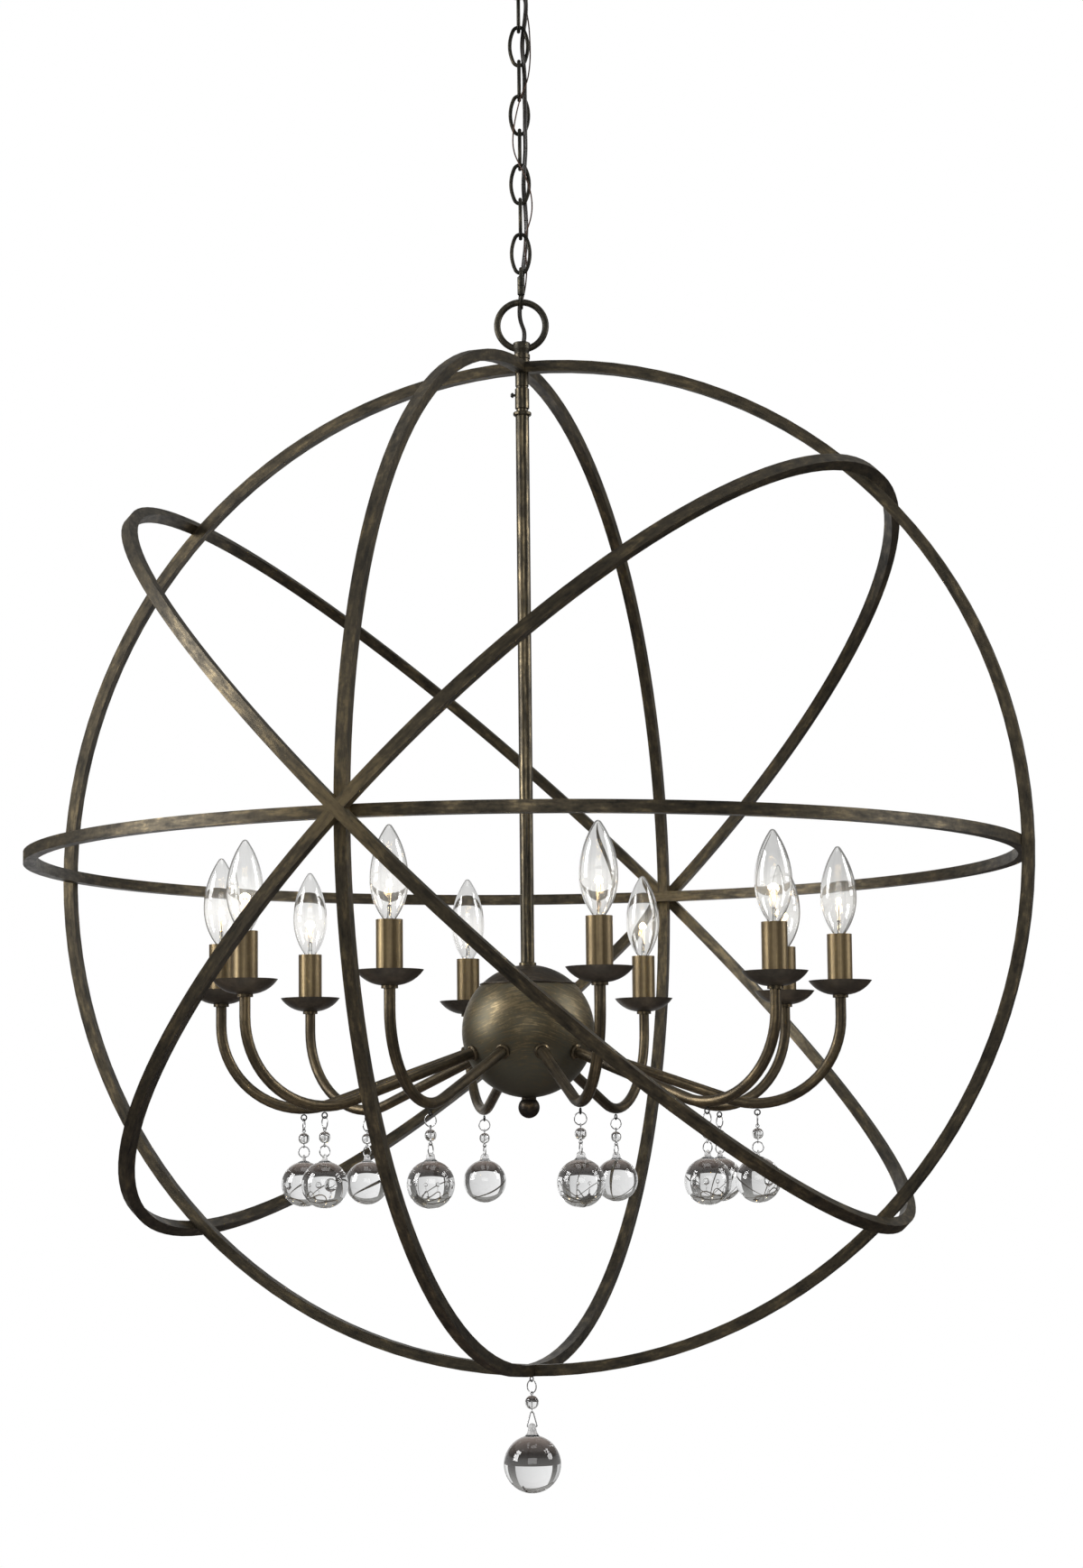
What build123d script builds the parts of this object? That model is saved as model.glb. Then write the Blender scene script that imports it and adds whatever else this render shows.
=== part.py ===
"""Orb chandelier: five square-bar hoops round a ten-arm candle fixture with hanging glass balls.

Millimetres. The origin is on the ceiling, at the middle of the mounting bar, with +Z up, so the
whole lamp hangs below it. The two upright hoops lie in the XZ and YZ planes.
"""

import os
from math import asin, atan2, cos, hypot, pi, radians, sin, sqrt, tan

from build123d import *

os.makedirs("parts", exist_ok=True)

# Clearances
WELD_GAP = 0.05        # between pieces that are welded or soldered together
LINK_GAP = 0.3         # between chain links where one hangs in the next
WIRE_GAP = 0.2         # the same, between the fine wires of the pendants
RUNNING = 0.05         # radial clearance of a turning fit
ENTRY = 0.1            # radial clearance of a rod, nipple or tube in its hole

# Ceiling mount
CANOPY_RADIUS = 65.0
CANOPY_DEPTH = 26.0
CANOPY_WALL = 1.2
CANOPY_SKIRT = 5.0     # height of the straight rim
CANOPY_FLAT = 20.0     # radius of the flat centre
BAR_LENGTH = 112.0     # mounting bar across the ceiling box
BAR_WIDTH = 20.0
BAR_THICK = 2.5
BOX_SCREW_SPACING = 88.9
BOX_SCREW_HOLE = 2.3   # radius
NIPPLE_RADIUS = 4.7
NIPPLE_BORE = 3.9      # radius
NUT_RADIUS = 8.0
NUT_THICK = 4.0

# Loop castings: a ring with a bored collar
COLLAR_RADIUS = 7.8
COLLAR_NECK = 6.45     # radius at the narrow end
COLLAR_LENGTH = 10.5
COLLAR_TAPER = 4.0     # height of the tapered part
COLLAR_BORE = 4.2      # radius, for the cord and the ground wire
LOOP_SINK = 6.0        # how far the ring's centreline dips into its collar
NIPPLE_ENGAGE = 4.0    # how far the nipple screws into the canopy loop
CANOPY_RING_RADIUS = 14.75
CANOPY_RING_WIRE = 4.5
HANG_RING_RADIUS = 22.0
HANG_RING_WIRE = 6.0

# Chain
CHAIN_TURN = 18.2      # degrees that the wide links are turned about Z from the XZ plane
LINK_COUNT = 8
LINK_LENGTH = 39.8
LINK_WIDTH = 20.0
LINK_WIRE = 3.4
LINK_END_RADIUS = 5.6  # centreline radius at the ends of the oval
CONNECTOR_LENGTH = 39.4
CONNECTOR_WIDTH = 20.0
CONNECTOR_WIRE = 3.4
CONNECTOR_BARREL = 3.3        # radius of the thick ends that meet at the opening
CONNECTOR_BARREL_LENGTH = 19.0
CONNECTOR_SEAM = 0.6          # width and depth of the seam between them

# Cords: points in the chain's own frame, as (to the right, behind, height), from loop to loop
CORD_DIAMETER = 4.2
GROUND_DIAMETER = 1.3
BEND_SHARE = 0.45      # share of the shorter run that an arc takes up
CORD_ROUTE = [
    (0.0, -1.4, -30.5),
    (1.2, -0.6, -40.5),
    (5.6, 2.9, -50.5),
    (7.2, 6.2, -63.0),
    (6.4, 5.6, -77.0),
    (4.2, 4.6, -91.5),
    (2.9, 0.1, -106.6),
    (4.1, -4.6, -122.0),
    (5.2, -5.2, -138.0),
    (4.9, -4.9, -155.0),
    (5.3, -5.4, -172.0),
    (5.0, -5.0, -189.0),
    (5.4, -5.3, -205.5),
    (4.2, -4.6, -222.0),
    (2.9, -0.1, -237.5),
    (4.1, 4.6, -253.0),
    (5.3, 5.4, -269.5),
    (5.2, 6.4, -285.0),
    (3.9, 8.4, -300.0),
    (1.6, 12.2, -316.0),
    (0.4, 14.6, -333.5),
    (0.2, 12.2, -350.0),
    (0.3, 5.6, -365.0),
    (0.2, 0.2, -379.0),
    (0.0, -1.2, -392.0),
]
GROUND_ROUTE = [
    (0.0, 2.7, -30.5),
    (-0.7, 3.3, -40.0),
    (2.8, 7.6, -52.0),
    (7.0, 10.4, -66.0),
    (9.6, 8.6, -82.0),
    (10.4, 5.4, -99.0),
    (10.6, 3.0, -116.0),
    (9.4, -1.8, -131.0),
    (7.2, -8.6, -144.0),
    (1.6, -10.6, -157.0),
    (-2.6, -8.6, -172.0),
    (-5.4, -5.6, -186.0),
    (-6.6, -3.6, -199.0),
    (-4.8, -6.4, -211.0),
    (-0.6, -10.2, -221.5),
    (5.0, -10.6, -233.0),
    (9.6, -7.2, -246.0),
    (11.2, -2.4, -259.0),
    (9.2, 1.8, -271.0),
    (4.7, 2.9, -283.0),
    (3.4, 4.2, -295.0),
    (5.2, 5.8, -306.0),
    (5.4, 9.8, -319.0),
    (4.2, 13.4, -334.0),
    (3.9, 12.4, -349.0),
    (4.0, 7.6, -363.0),
    (2.6, 3.2, -377.0),
    (0.9, 2.7, -392.0),
]

# Cage
HOOP_RADIUS = 450.0    # centreline of the two upright hoops
HOOP_BAR = 10.0
HOOP_TILT = 45.0       # degrees between an upright hoop and a tilted one

# Top spool and coupling
SPOOL_RADIUS = 6.05
SPOOL_RIM = 7.5
SPOOL_RIM_HEIGHT = 5.0
SPOOL_STEP = 7.0       # radius of the lower flange that rests on the bars
SPOOL_STEP_HEIGHT = 3.0
SPOOL_TAIL = 14.0      # length below the bars
SPOOL_GROOVE = 1.5
SPOOL_BORE = 3.6       # radius
COUPLING_RADIUS = 6.45
COUPLING_LENGTH = 19.2
COUPLING_ROOF = 2.4    # wall left above the spigot's socket
CHAMFER = 0.6

# Thumb screw
SCREW_TURN = -71.8     # degrees from -Y towards +X
SCREW_RADIUS = 1.2
SCREW_DROP = 6.2       # below the coupling's top face
SCREW_HEAD_RADIUS = 2.35
SCREW_HEAD_LENGTH = 2.8
SCREW_STANDOFF = 1.3   # between the coupling and the head

# Stem
STEM_RADIUS = 6.1
STEM_WALL = 1.5
STEM_BEAD_RADIUS = 8.25
STEM_BEAD_HEIGHT = 3.8
STEM_NECK_RADIUS = 5.25
STEM_NECK_HEIGHT = 2.3
SPIGOT_RADIUS = 4.2
SPIGOT_BORE = 2.9
SPIGOT_GROOVE = 3.4    # radius at the bottom of the groove that the thumb screw enters
STEM_FOOT_RADIUS = 8.0
STEM_FOOT_HEIGHT = 2.7

# Hub
HUB_DROP = 152.7       # centre of the hub below the centre of the cage
HUB_RADIUS = 59.0
HUB_WALL = 1.5
HUB_SEAM = 41.5        # height of the cap's edge above the hub's centre
CAP_LIP = 0.9          # how far the cap's edge stands proud of the bowl
CAP_LIP_HEIGHT = 1.8
ROD_RADIUS = 4.5
ROD_IN_STEM = 14.0     # how far the rod reaches up into the stem
FINIAL_RADIUS = 9.5
FINIAL_WASHER_RADIUS = 6.5
FINIAL_WASHER_HEIGHT = 2.0
FINIAL_THREAD = 7.5    # depth of the rod in the finial

# Arms
ARM_COUNT = 10
ARM_TURN = 30.3        # degrees from -Y towards +X of the first arm
ARM_REACH = 277.0      # radius of the candles
ARM_LOW = 219.0        # lowest centreline of an arm below the centre of the cage
ARM_BEND = 75.0        # radius of the bend
ARM_RADIUS = 4.75
ARM_WALL = 1.25
ARM_IN_HUB = 12.0
FERRULE_RADIUS = 6.9
FERRULE_LENGTH = 3.0
SHOULDER_RADIUS = 6.9
SHOULDER_HEIGHT = 2.5
LEAD_RADIUS = 1.5

# Candles
CUP_RIM_DROP = 112.0   # cup rim below the centre of the cage
CUP_RADIUS = 28.0
CUP_DEPTH = 12.5
CUP_FOOT_RADIUS = 7.1
CUP_BULGE = 2.7        # height of the dish's curve above its chord
CUP_WALL = 1.2
SLEEVE_RADIUS = 11.0
SLEEVE_WALL = 0.8
SLEEVE_RISE = 41.0     # sleeve above the cup's rim
SOCKET_RADIUS = 9.0
SOCKET_BELOW_SLEEVE = 11.0
SOCKET_ARM_DEPTH = 8.0  # how far an arm's end reaches into its socket
LAMP_BASE_RADIUS = 5.95
LAMP_BASE_LENGTH = 16.0
LAMP_RISE = 78.0       # tip of the lamp above the sleeve
LAMP_RADIUS = 16.0
LAMP_WIDEST = 33.0     # height of the widest part above the sleeve
LAMP_WALL = 0.9
LAMP_NECK_RADIUS = 5.6
LAMP_NECK_SINK = 9.0   # bottom of the glass below the sleeve's top
LAMP_TIP_RADIUS = 3.1
LAMP_LOWER_SIDE = 55.0  # radius of the lower side's curve
MOUNT_RADIUS = 2.6     # glass mount inside the lamp
MOUNT_LENGTH = 22.0

# Pendants
EYELET_RADIUS = 2.4    # centreline
EYELET_WIRE = 1.2
RING_WIRE = 1.0
UPPER_RING_RADIUS = 5.2
LOWER_RING_RADIUS = 4.8
PIN_WIRE = 0.8
PIN_LOOP_RADIUS = 1.4
BEAD_RADIUS = 5.0
BALL_RADIUS = 20.0
BALL_LUG_RADIUS = 4.0  # half the width of the drilled lug on a ball
BALL_LUG_FOOT = 6.0    # the same where the lug flares into the ball
BALL_LUG_THICK = 3.0
BALL_LUG_HEIGHT = 6.2
BALL_LUG_SINK = 0.6    # how far the flare ends inside the ball
BALL_HOLE_RADIUS = 1.1
BALL_HOLE_DROP = 2.7   # hole below the top of the lug

# Lowest pendant
LOW_EYELET_TURN = 45.0  # degrees from the chain's wide links
LOW_EYELET_RADIUS = 2.05
LOW_EYELET_WIRE = 1.0
LOW_RING_RADIUS = 5.5
LOW_BEAD_RADIUS = 6.0
BAIL_LENGTH = 13.0     # between the bail's peak and its base
BAIL_WIDTH = 9.0
BAIL_CORNER = 0.8
BAIL_PEAK = 1.3        # radius of the bend at the peak
LOW_BALL_RADIUS = 25.0
LOW_LUG_RADIUS = 3.4
LOW_LUG_FOOT = 6.4
LOW_LUG_HEIGHT = 10.3
LOW_HOLE_DROP = 3.5

# Heights, worked out from the ceiling down
canopy_bottom = -CANOPY_DEPTH
canopy_collar_bottom = canopy_bottom - COLLAR_LENGTH
canopy_ring_z = canopy_collar_bottom + LOOP_SINK - CANOPY_RING_RADIUS
link_half = (LINK_LENGTH - LINK_WIRE) / 2
link_pitch = 2 * link_half - LINK_WIRE - LINK_GAP
canopy_ring_low = canopy_ring_z - CANOPY_RING_RADIUS
first_link_z = canopy_ring_low + (CANOPY_RING_WIRE + LINK_WIRE) / 2 + LINK_GAP - link_half
link_z = [first_link_z - index * link_pitch for index in range(LINK_COUNT)]
connector_half = (CONNECTOR_LENGTH - CONNECTOR_WIRE) / 2
last_link_low = link_z[-1] - link_half
connector_z = last_link_low + (LINK_WIRE + CONNECTOR_WIRE) / 2 + LINK_GAP - connector_half
connector_low = connector_z - connector_half
hang_ring_top = connector_low + (CONNECTOR_WIRE + HANG_RING_WIRE) / 2 + LINK_GAP
hang_ring_z = hang_ring_top - HANG_RING_RADIUS
collar_top = hang_ring_z - HANG_RING_RADIUS + LOOP_SINK
collar_bottom = collar_top - COLLAR_LENGTH
bar_top = collar_bottom - SPOOL_RIM_HEIGHT - SPOOL_STEP_HEIGHT - WELD_GAP
cage_z = bar_top - HOOP_BAR / 2 - HOOP_RADIUS
spool_bottom = bar_top - HOOP_BAR - SPOOL_TAIL
coupling_bottom = spool_bottom - COUPLING_LENGTH
screw_z = spool_bottom - SCREW_DROP
hub_z = cage_z - HUB_DROP
stem_foot_z = hub_z + sqrt(HUB_RADIUS**2 - STEM_FOOT_RADIUS**2)
washer_top = hub_z - sqrt(HUB_RADIUS**2 - FINIAL_WASHER_RADIUS**2)
finial_z = washer_top - FINIAL_WASHER_HEIGHT - sqrt(FINIAL_RADIUS**2 - FINIAL_WASHER_RADIUS**2)
rod_bottom = washer_top - FINIAL_THREAD
cup_rim = cage_z - CUP_RIM_DROP
cup_bottom = cup_rim - CUP_DEPTH
cup_floor = cup_bottom + CUP_WALL
cup_chord = hypot(CUP_RADIUS - CUP_FOOT_RADIUS, CUP_DEPTH)
cup_curve = cup_chord**2 / (8 * CUP_BULGE) + CUP_BULGE / 2
cup_lift = (cup_curve - CUP_BULGE) / cup_chord
cup_centre_x = (CUP_RADIUS + CUP_FOOT_RADIUS) / 2 - CUP_DEPTH * cup_lift
cup_centre_z = (cup_rim + cup_bottom) / 2 + (CUP_RADIUS - CUP_FOOT_RADIUS) * cup_lift
cup_inner = cup_curve - CUP_WALL
sleeve_in_dish = sqrt(cup_inner**2 - (SLEEVE_RADIUS - cup_centre_x) ** 2)
sleeve_bottom = cup_centre_z - sleeve_in_dish + WELD_GAP
sleeve_top = cup_rim + SLEEVE_RISE
socket_top = sleeve_top - SOCKET_BELOW_SLEEVE
lamp_neck_z = sleeve_top - LAMP_NECK_SINK
lamp_base_bottom = socket_top - LAMP_BASE_LENGTH
arm_end_z = sleeve_bottom + SOCKET_ARM_DEPTH

# Arm line: radial to the hub's centre, then a bend up to the candle
bend_r = ARM_REACH - ARM_BEND
bend_z = cage_z - ARM_LOW + ARM_BEND
bend_distance = hypot(bend_r, bend_z - hub_z)
arm_slope = asin(ARM_BEND / bend_distance) - atan2(bend_z - hub_z, bend_r)
arm_start_length = HUB_RADIUS - ARM_IN_HUB
arm_azimuths = [ARM_TURN + index * 360 / ARM_COUNT for index in range(ARM_COUNT)]


def lathe(*points):
    """Solid turned about Z from (radius, height) points."""
    return revolve(make_face(Polyline(*[(r, 0, z) for r, z in points], close=True)), Axis.Z)


def disc(radius, low, high):
    """Cylinder about Z between two heights."""
    return Pos(0, 0, low) * Cylinder(radius, high - low, align=(Align.CENTER, Align.CENTER, Align.MIN))


def from_front(azimuth):
    """Turns what is built along +X to an azimuth counted from -Y towards +X."""
    return Rot(0, 0, azimuth - 90)


def wire_ring(radius, wire):
    """Round wire ring standing in the XZ plane."""
    return Rot(90, 0, 0) * Torus(radius, wire / 2)


def swept_wire(path, wire):
    """Round wire along a path, started square to its first edge."""
    return sweep(Plane(path @ 0, z_dir=path % 0) * Circle(wire / 2), path=path)


def oval_ring(length, width, wire, end_radius):
    """Oval of four tangent arcs in the XZ plane."""
    half_width = (width - wire) / 2
    half_length = (length - wire) / 2
    end_z = half_length - end_radius
    side_radius = (half_width**2 + end_z**2 - end_radius**2) / (2 * (half_width - end_radius))
    side_x = side_radius - half_width
    join_x = end_radius * side_x / (side_radius - end_radius)
    join_z = end_z + end_radius * end_z / (side_radius - end_radius)
    half_angle = atan2(join_z, join_x + side_x) / 2
    mid_x = side_radius * cos(half_angle) - side_x
    mid_z = side_radius * sin(half_angle)
    path = Wire(
        [
            ThreePointArc((half_width, 0, 0), (mid_x, 0, mid_z), (join_x, 0, join_z)),
            ThreePointArc((join_x, 0, join_z), (0, 0, half_length), (-join_x, 0, join_z)),
            ThreePointArc((-join_x, 0, join_z), (-half_width, 0, 0), (-join_x, 0, -join_z)),
            ThreePointArc((-join_x, 0, -join_z), (0, 0, -half_length), (join_x, 0, -join_z)),
            ThreePointArc((join_x, 0, -join_z), (mid_x, 0, -mid_z), (half_width, 0, 0)),
        ]
    )
    return swept_wire(path, wire)


def corded(route, diameter):
    """Cord as straight runs joined by arcs, each as wide as its two runs allow."""
    points = [Vector(*point) for point in route]
    runs = [second - first for first, second in zip(points, points[1:])]
    radii = []
    for before, after in zip(runs, runs[1:]):
        half_turn = radians(before.get_angle(after)) / 2
        radii.append(BEND_SHARE * min(before.length, after.length) / tan(half_turn))
    path = FilletPolyline(*points, radius=radii)
    cord = swept_wire(path, diameter)
    fill = cord.volume / (pi * diameter**2 / 4 * path.length)
    print(f"cord {diameter}: length {path.length:.1f}, least radius {min(radii):.1f}, fill {fill:.4f}")
    return cord


def connector_link():
    """Straight-sided link with thick ends that meet at a seam on one side."""
    end = (CONNECTOR_WIDTH - CONNECTOR_WIRE) / 2
    straight = connector_half - end
    path = Wire(
        [
            Line((end, 0, -straight), (end, 0, straight)),
            ThreePointArc((end, 0, straight), (0, 0, connector_half), (-end, 0, straight)),
            Line((-end, 0, straight), (-end, 0, -straight)),
            ThreePointArc((-end, 0, -straight), (0, 0, -connector_half), (end, 0, -straight)),
        ]
    )
    half = CONNECTOR_BARREL_LENGTH / 2
    neck = CONNECTOR_BARREL - CONNECTOR_SEAM
    edge = CONNECTOR_SEAM / 2
    small_end = CONNECTOR_WIRE / 2 + WELD_GAP
    taper = CONNECTOR_BARREL - small_end
    barrel = lathe(
        (0, -half),
        (small_end, -half),
        (CONNECTOR_BARREL, -half + taper),
        (CONNECTOR_BARREL, -edge),
        (neck, -edge),
        (neck, edge),
        (CONNECTOR_BARREL, edge),
        (CONNECTOR_BARREL, half - taper),
        (small_end, half),
        (0, half),
    )
    return swept_wire(path, CONNECTOR_WIRE) + Pos(-end, 0, 0) * barrel


def loop_casting(ring_radius, wire):
    """Ring on a bored collar: the collar's wide face is at z = 0 and the ring stands above it."""
    collar = lathe(
        (0, -COLLAR_LENGTH),
        (COLLAR_NECK, -COLLAR_LENGTH),
        (COLLAR_NECK, CHAMFER - COLLAR_LENGTH),
        (COLLAR_RADIUS, CHAMFER + COLLAR_TAPER - COLLAR_LENGTH),
        (COLLAR_RADIUS, -CHAMFER),
        (COLLAR_RADIUS - CHAMFER, 0),
        (0, 0),
    )
    ring = Pos(0, 0, ring_radius - LOOP_SINK) * wire_ring(ring_radius, wire)
    return collar + ring - disc(COLLAR_BORE, -COLLAR_LENGTH, 0)


def canopy_outline(inset):
    """Turned canopy body, drawn in by inset on every side but its open top."""
    rim = CANOPY_RADIUS - inset
    floor = canopy_bottom + inset
    dome_z = -CANOPY_SKIRT
    section = Plane.XZ * make_face(
        [
            Line((0, 0), (0, floor)),
            Line((0, floor), (CANOPY_FLAT, floor)),
            TangentArc((CANOPY_FLAT, floor), (rim, dome_z), tangent=(1, 0)),
            Line((rim, dome_z), (rim, 0)),
            Line((rim, 0), (0, 0)),
        ]
    )
    return revolve(section, Axis.Z)


def mounting_bar():
    """Flat bar with a hole for the nipple and two for the ceiling box's screws."""
    bar = Pos(0, 0, -BAR_THICK / 2) * Box(BAR_LENGTH, BAR_WIDTH, BAR_THICK)
    bar = fillet(bar.edges().filter_by(Axis.Z), BAR_WIDTH / 4)
    bar -= disc(NIPPLE_RADIUS + ENTRY, -BAR_THICK, 0)
    for side in (-1, 1):
        bar -= Pos(side * BOX_SCREW_SPACING / 2, 0, 0) * disc(BOX_SCREW_HOLE, -BAR_THICK, 0)
    return bar


def canopy_fasteners():
    """Hollow nipple from the bar to the loop, and the hexagon nut that holds it under the bar."""
    bottom = canopy_bottom - NIPPLE_ENGAGE
    nipple = disc(NIPPLE_RADIUS, bottom, 0) - disc(NIPPLE_BORE, bottom, 0)
    nut = extrude(RegularPolygon(NUT_RADIUS, 6), NUT_THICK)
    nut = Pos(0, 0, -BAR_THICK - NUT_THICK) * (nut - disc(NIPPLE_RADIUS + ENTRY, 0, NUT_THICK))
    return [nipple, nut]


def hoop(radius, bar=HOOP_BAR):
    """Square-bar hoop lying flat about the cage's centre."""
    section = Plane.XZ * (Pos(radius, 0) * Rectangle(bar, bar))
    return revolve(section, Axis.Z)


def cage():
    """The five hoops. The equator is welded inside the upright pair, the tilted pair outside it."""
    to_cage = Pos(0, 0, cage_z)
    step = HOOP_BAR + WELD_GAP
    weld_bar = HOOP_BAR + 2 * WELD_GAP
    spool_room = disc(SPOOL_RADIUS + WELD_GAP, HOOP_RADIUS - 2 * HOOP_BAR, HOOP_RADIUS + HOOP_BAR)
    facing_front = Rot(90, 0, 0)
    front = facing_front * hoop(HOOP_RADIUS) - spool_room
    side = Rot(0, 90, 0) * hoop(HOOP_RADIUS) - spool_room - facing_front * hoop(HOOP_RADIUS, weld_bar)
    equator = hoop(HOOP_RADIUS - step)
    left = Rot(0, HOOP_TILT, 0) * hoop(HOOP_RADIUS + step)
    right = Rot(0, -HOOP_TILT, 0) * hoop(HOOP_RADIUS + step)
    right -= Rot(0, HOOP_TILT, 0) * hoop(HOOP_RADIUS + step, weld_bar)
    return {
        "hoop_front": to_cage * front,
        "hoop_side": to_cage * side,
        "hoop_equator": to_cage * equator,
        "hoop_tilted_left": to_cage * left,
        "hoop_tilted_right": to_cage * right,
    }


def top_spool():
    """Turned spool that joins the four upper ends of the upright hoops."""
    rim_bottom = collar_bottom - SPOOL_RIM_HEIGHT
    step_bottom = rim_bottom - SPOOL_STEP_HEIGHT
    groove_radius = SPOOL_RADIUS - CHAMFER
    return lathe(
        (SPOOL_BORE, spool_bottom),
        (groove_radius, spool_bottom),
        (groove_radius, spool_bottom + SPOOL_GROOVE),
        (SPOOL_RADIUS, spool_bottom + SPOOL_GROOVE + CHAMFER),
        (SPOOL_RADIUS, step_bottom),
        (SPOOL_STEP, step_bottom),
        (SPOOL_STEP, rim_bottom),
        (SPOOL_RIM, rim_bottom + CHAMFER),
        (SPOOL_RIM, collar_bottom - CHAMFER),
        (SPOOL_RIM - CHAMFER, collar_bottom),
        (SPOOL_BORE, collar_bottom),
    )


def along_screw(shape):
    """Lays a shape made along +Z on the thumb screw's line, with its foot on the stem's axis."""
    return Pos(0, 0, screw_z) * from_front(SCREW_TURN) * Rot(0, 90, 0) * shape


def stem_coupling():
    """Sleeve under the spool that takes the stem's spigot, tapped for the thumb screw."""
    socket_roof = spool_bottom - COUPLING_ROOF
    sleeve = lathe(
        (SPIGOT_RADIUS + RUNNING, coupling_bottom),
        (COUPLING_RADIUS - CHAMFER, coupling_bottom),
        (COUPLING_RADIUS, coupling_bottom + CHAMFER),
        (COUPLING_RADIUS, spool_bottom - CHAMFER),
        (COUPLING_RADIUS - CHAMFER, spool_bottom),
        (SPOOL_BORE, spool_bottom),
        (SPOOL_BORE, socket_roof),
        (SPIGOT_RADIUS + RUNNING, socket_roof),
    )
    return sleeve - along_screw(disc(SCREW_RADIUS + RUNNING, 0, COUPLING_RADIUS + SCREW_STANDOFF))


def thumb_screw():
    """Mushroom-headed screw whose tip enters the groove in the stem's spigot."""
    tip = SPIGOT_GROOVE + LINK_GAP
    head = COUPLING_RADIUS + SCREW_STANDOFF
    end = head + SCREW_HEAD_LENGTH
    screw = lathe(
        (0, tip),
        (SCREW_RADIUS, tip),
        (SCREW_RADIUS, head),
        (SCREW_HEAD_RADIUS - CHAMFER, head),
        (SCREW_HEAD_RADIUS, head + CHAMFER),
        (SCREW_HEAD_RADIUS, end - 2 * CHAMFER),
        (SCREW_HEAD_RADIUS - 2 * CHAMFER, end),
        (0, end),
    )
    return along_screw(screw)


def stem():
    """Tube with a bead and a grooved spigot on top and a foot flange on the hub."""
    neck_top = coupling_bottom - LINK_GAP
    neck_bottom = neck_top - STEM_NECK_HEIGHT
    bead_bottom = neck_bottom - STEM_BEAD_HEIGHT
    bead_round = STEM_BEAD_HEIGHT / 4
    bore = STEM_RADIUS - STEM_WALL
    spigot_top = spool_bottom - COUPLING_ROOF - LINK_GAP
    groove_half = SCREW_RADIUS + LINK_GAP
    return lathe(
        (bore, stem_foot_z),
        (STEM_FOOT_RADIUS - CHAMFER / 2, stem_foot_z),
        (STEM_FOOT_RADIUS - CHAMFER / 2, stem_foot_z + STEM_FOOT_HEIGHT - CHAMFER),
        (STEM_FOOT_RADIUS - 2 * CHAMFER, stem_foot_z + STEM_FOOT_HEIGHT),
        (STEM_RADIUS, stem_foot_z + STEM_FOOT_HEIGHT),
        (STEM_RADIUS, bead_bottom),
        (STEM_BEAD_RADIUS - bead_round, bead_bottom),
        (STEM_BEAD_RADIUS, bead_bottom + bead_round),
        (STEM_BEAD_RADIUS, neck_bottom - bead_round),
        (STEM_BEAD_RADIUS - bead_round, neck_bottom),
        (STEM_NECK_RADIUS, neck_bottom),
        (STEM_NECK_RADIUS, neck_top),
        (SPIGOT_RADIUS, neck_top),
        (SPIGOT_RADIUS, screw_z - groove_half),
        (SPIGOT_GROOVE, screw_z - groove_half),
        (SPIGOT_GROOVE, screw_z + groove_half),
        (SPIGOT_RADIUS, screw_z + groove_half),
        (SPIGOT_RADIUS, spigot_top),
        (SPIGOT_BORE, spigot_top),
        (SPIGOT_BORE, bead_bottom),
        (bore, bead_bottom - STEM_BEAD_HEIGHT),
    )


def arm_line(distance):
    """Point (radius, height) on an arm's straight run, at a distance from the hub's centre."""
    return distance * cos(arm_slope), hub_z - distance * sin(arm_slope)


def along_arm(shape, start):
    """Lays a shape made along +Z on an arm's straight run, at a distance from the hub's centre."""
    r, z = arm_line(start)
    return Plane((r, 0, z), z_dir=(cos(arm_slope), 0, -sin(arm_slope))) * shape


def hub_bowl():
    """Lower part of the hollow hub, with a flat for the finial and a hole for each arm."""
    ball = Pos(0, 0, hub_z) * (Sphere(HUB_RADIUS) - Sphere(HUB_RADIUS - HUB_WALL))
    bowl = ball & disc(HUB_RADIUS, washer_top, hub_z + HUB_SEAM)
    bowl -= disc(ROD_RADIUS + ENTRY, washer_top, hub_z)
    hole = along_arm(disc(ARM_RADIUS + ENTRY, 0, 2 * ARM_IN_HUB), arm_start_length)
    for azimuth in arm_azimuths:
        bowl -= from_front(azimuth) * hole
    return bowl


def hub_cap():
    """Upper part of the hub, with a lip at its edge and a flat for the stem's foot."""
    edge = hub_z + HUB_SEAM
    ball = Pos(0, 0, hub_z) * (Sphere(HUB_RADIUS) - Sphere(HUB_RADIUS - HUB_WALL))
    cap = ball & disc(HUB_RADIUS, edge, stem_foot_z)
    edge_radius = sqrt(HUB_RADIUS**2 - HUB_SEAM**2)
    lip_top_radius = sqrt(HUB_RADIUS**2 - (HUB_SEAM + CAP_LIP_HEIGHT) ** 2)
    lip = lathe(
        (edge_radius - HUB_WALL / 2, edge),
        (edge_radius + CAP_LIP, edge),
        (edge_radius + CAP_LIP, edge + CAP_LIP_HEIGHT / 2),
        (lip_top_radius, edge + CAP_LIP_HEIGHT),
        (lip_top_radius - HUB_WALL / 2, edge + CAP_LIP_HEIGHT),
    )
    return cap + lip - disc(ROD_RADIUS + ENTRY, hub_z, stem_foot_z)


def hub_finial():
    """Ball under the hub with a washer face and a blind hole for the rod."""
    ball = Pos(0, 0, finial_z) * Sphere(FINIAL_RADIUS)
    ball &= disc(FINIAL_RADIUS, finial_z - FINIAL_RADIUS, washer_top - FINIAL_WASHER_HEIGHT)
    washer = disc(FINIAL_WASHER_RADIUS, washer_top - FINIAL_WASHER_HEIGHT, washer_top)
    return ball + washer - disc(ROD_RADIUS + ENTRY, rod_bottom, washer_top)


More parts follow.
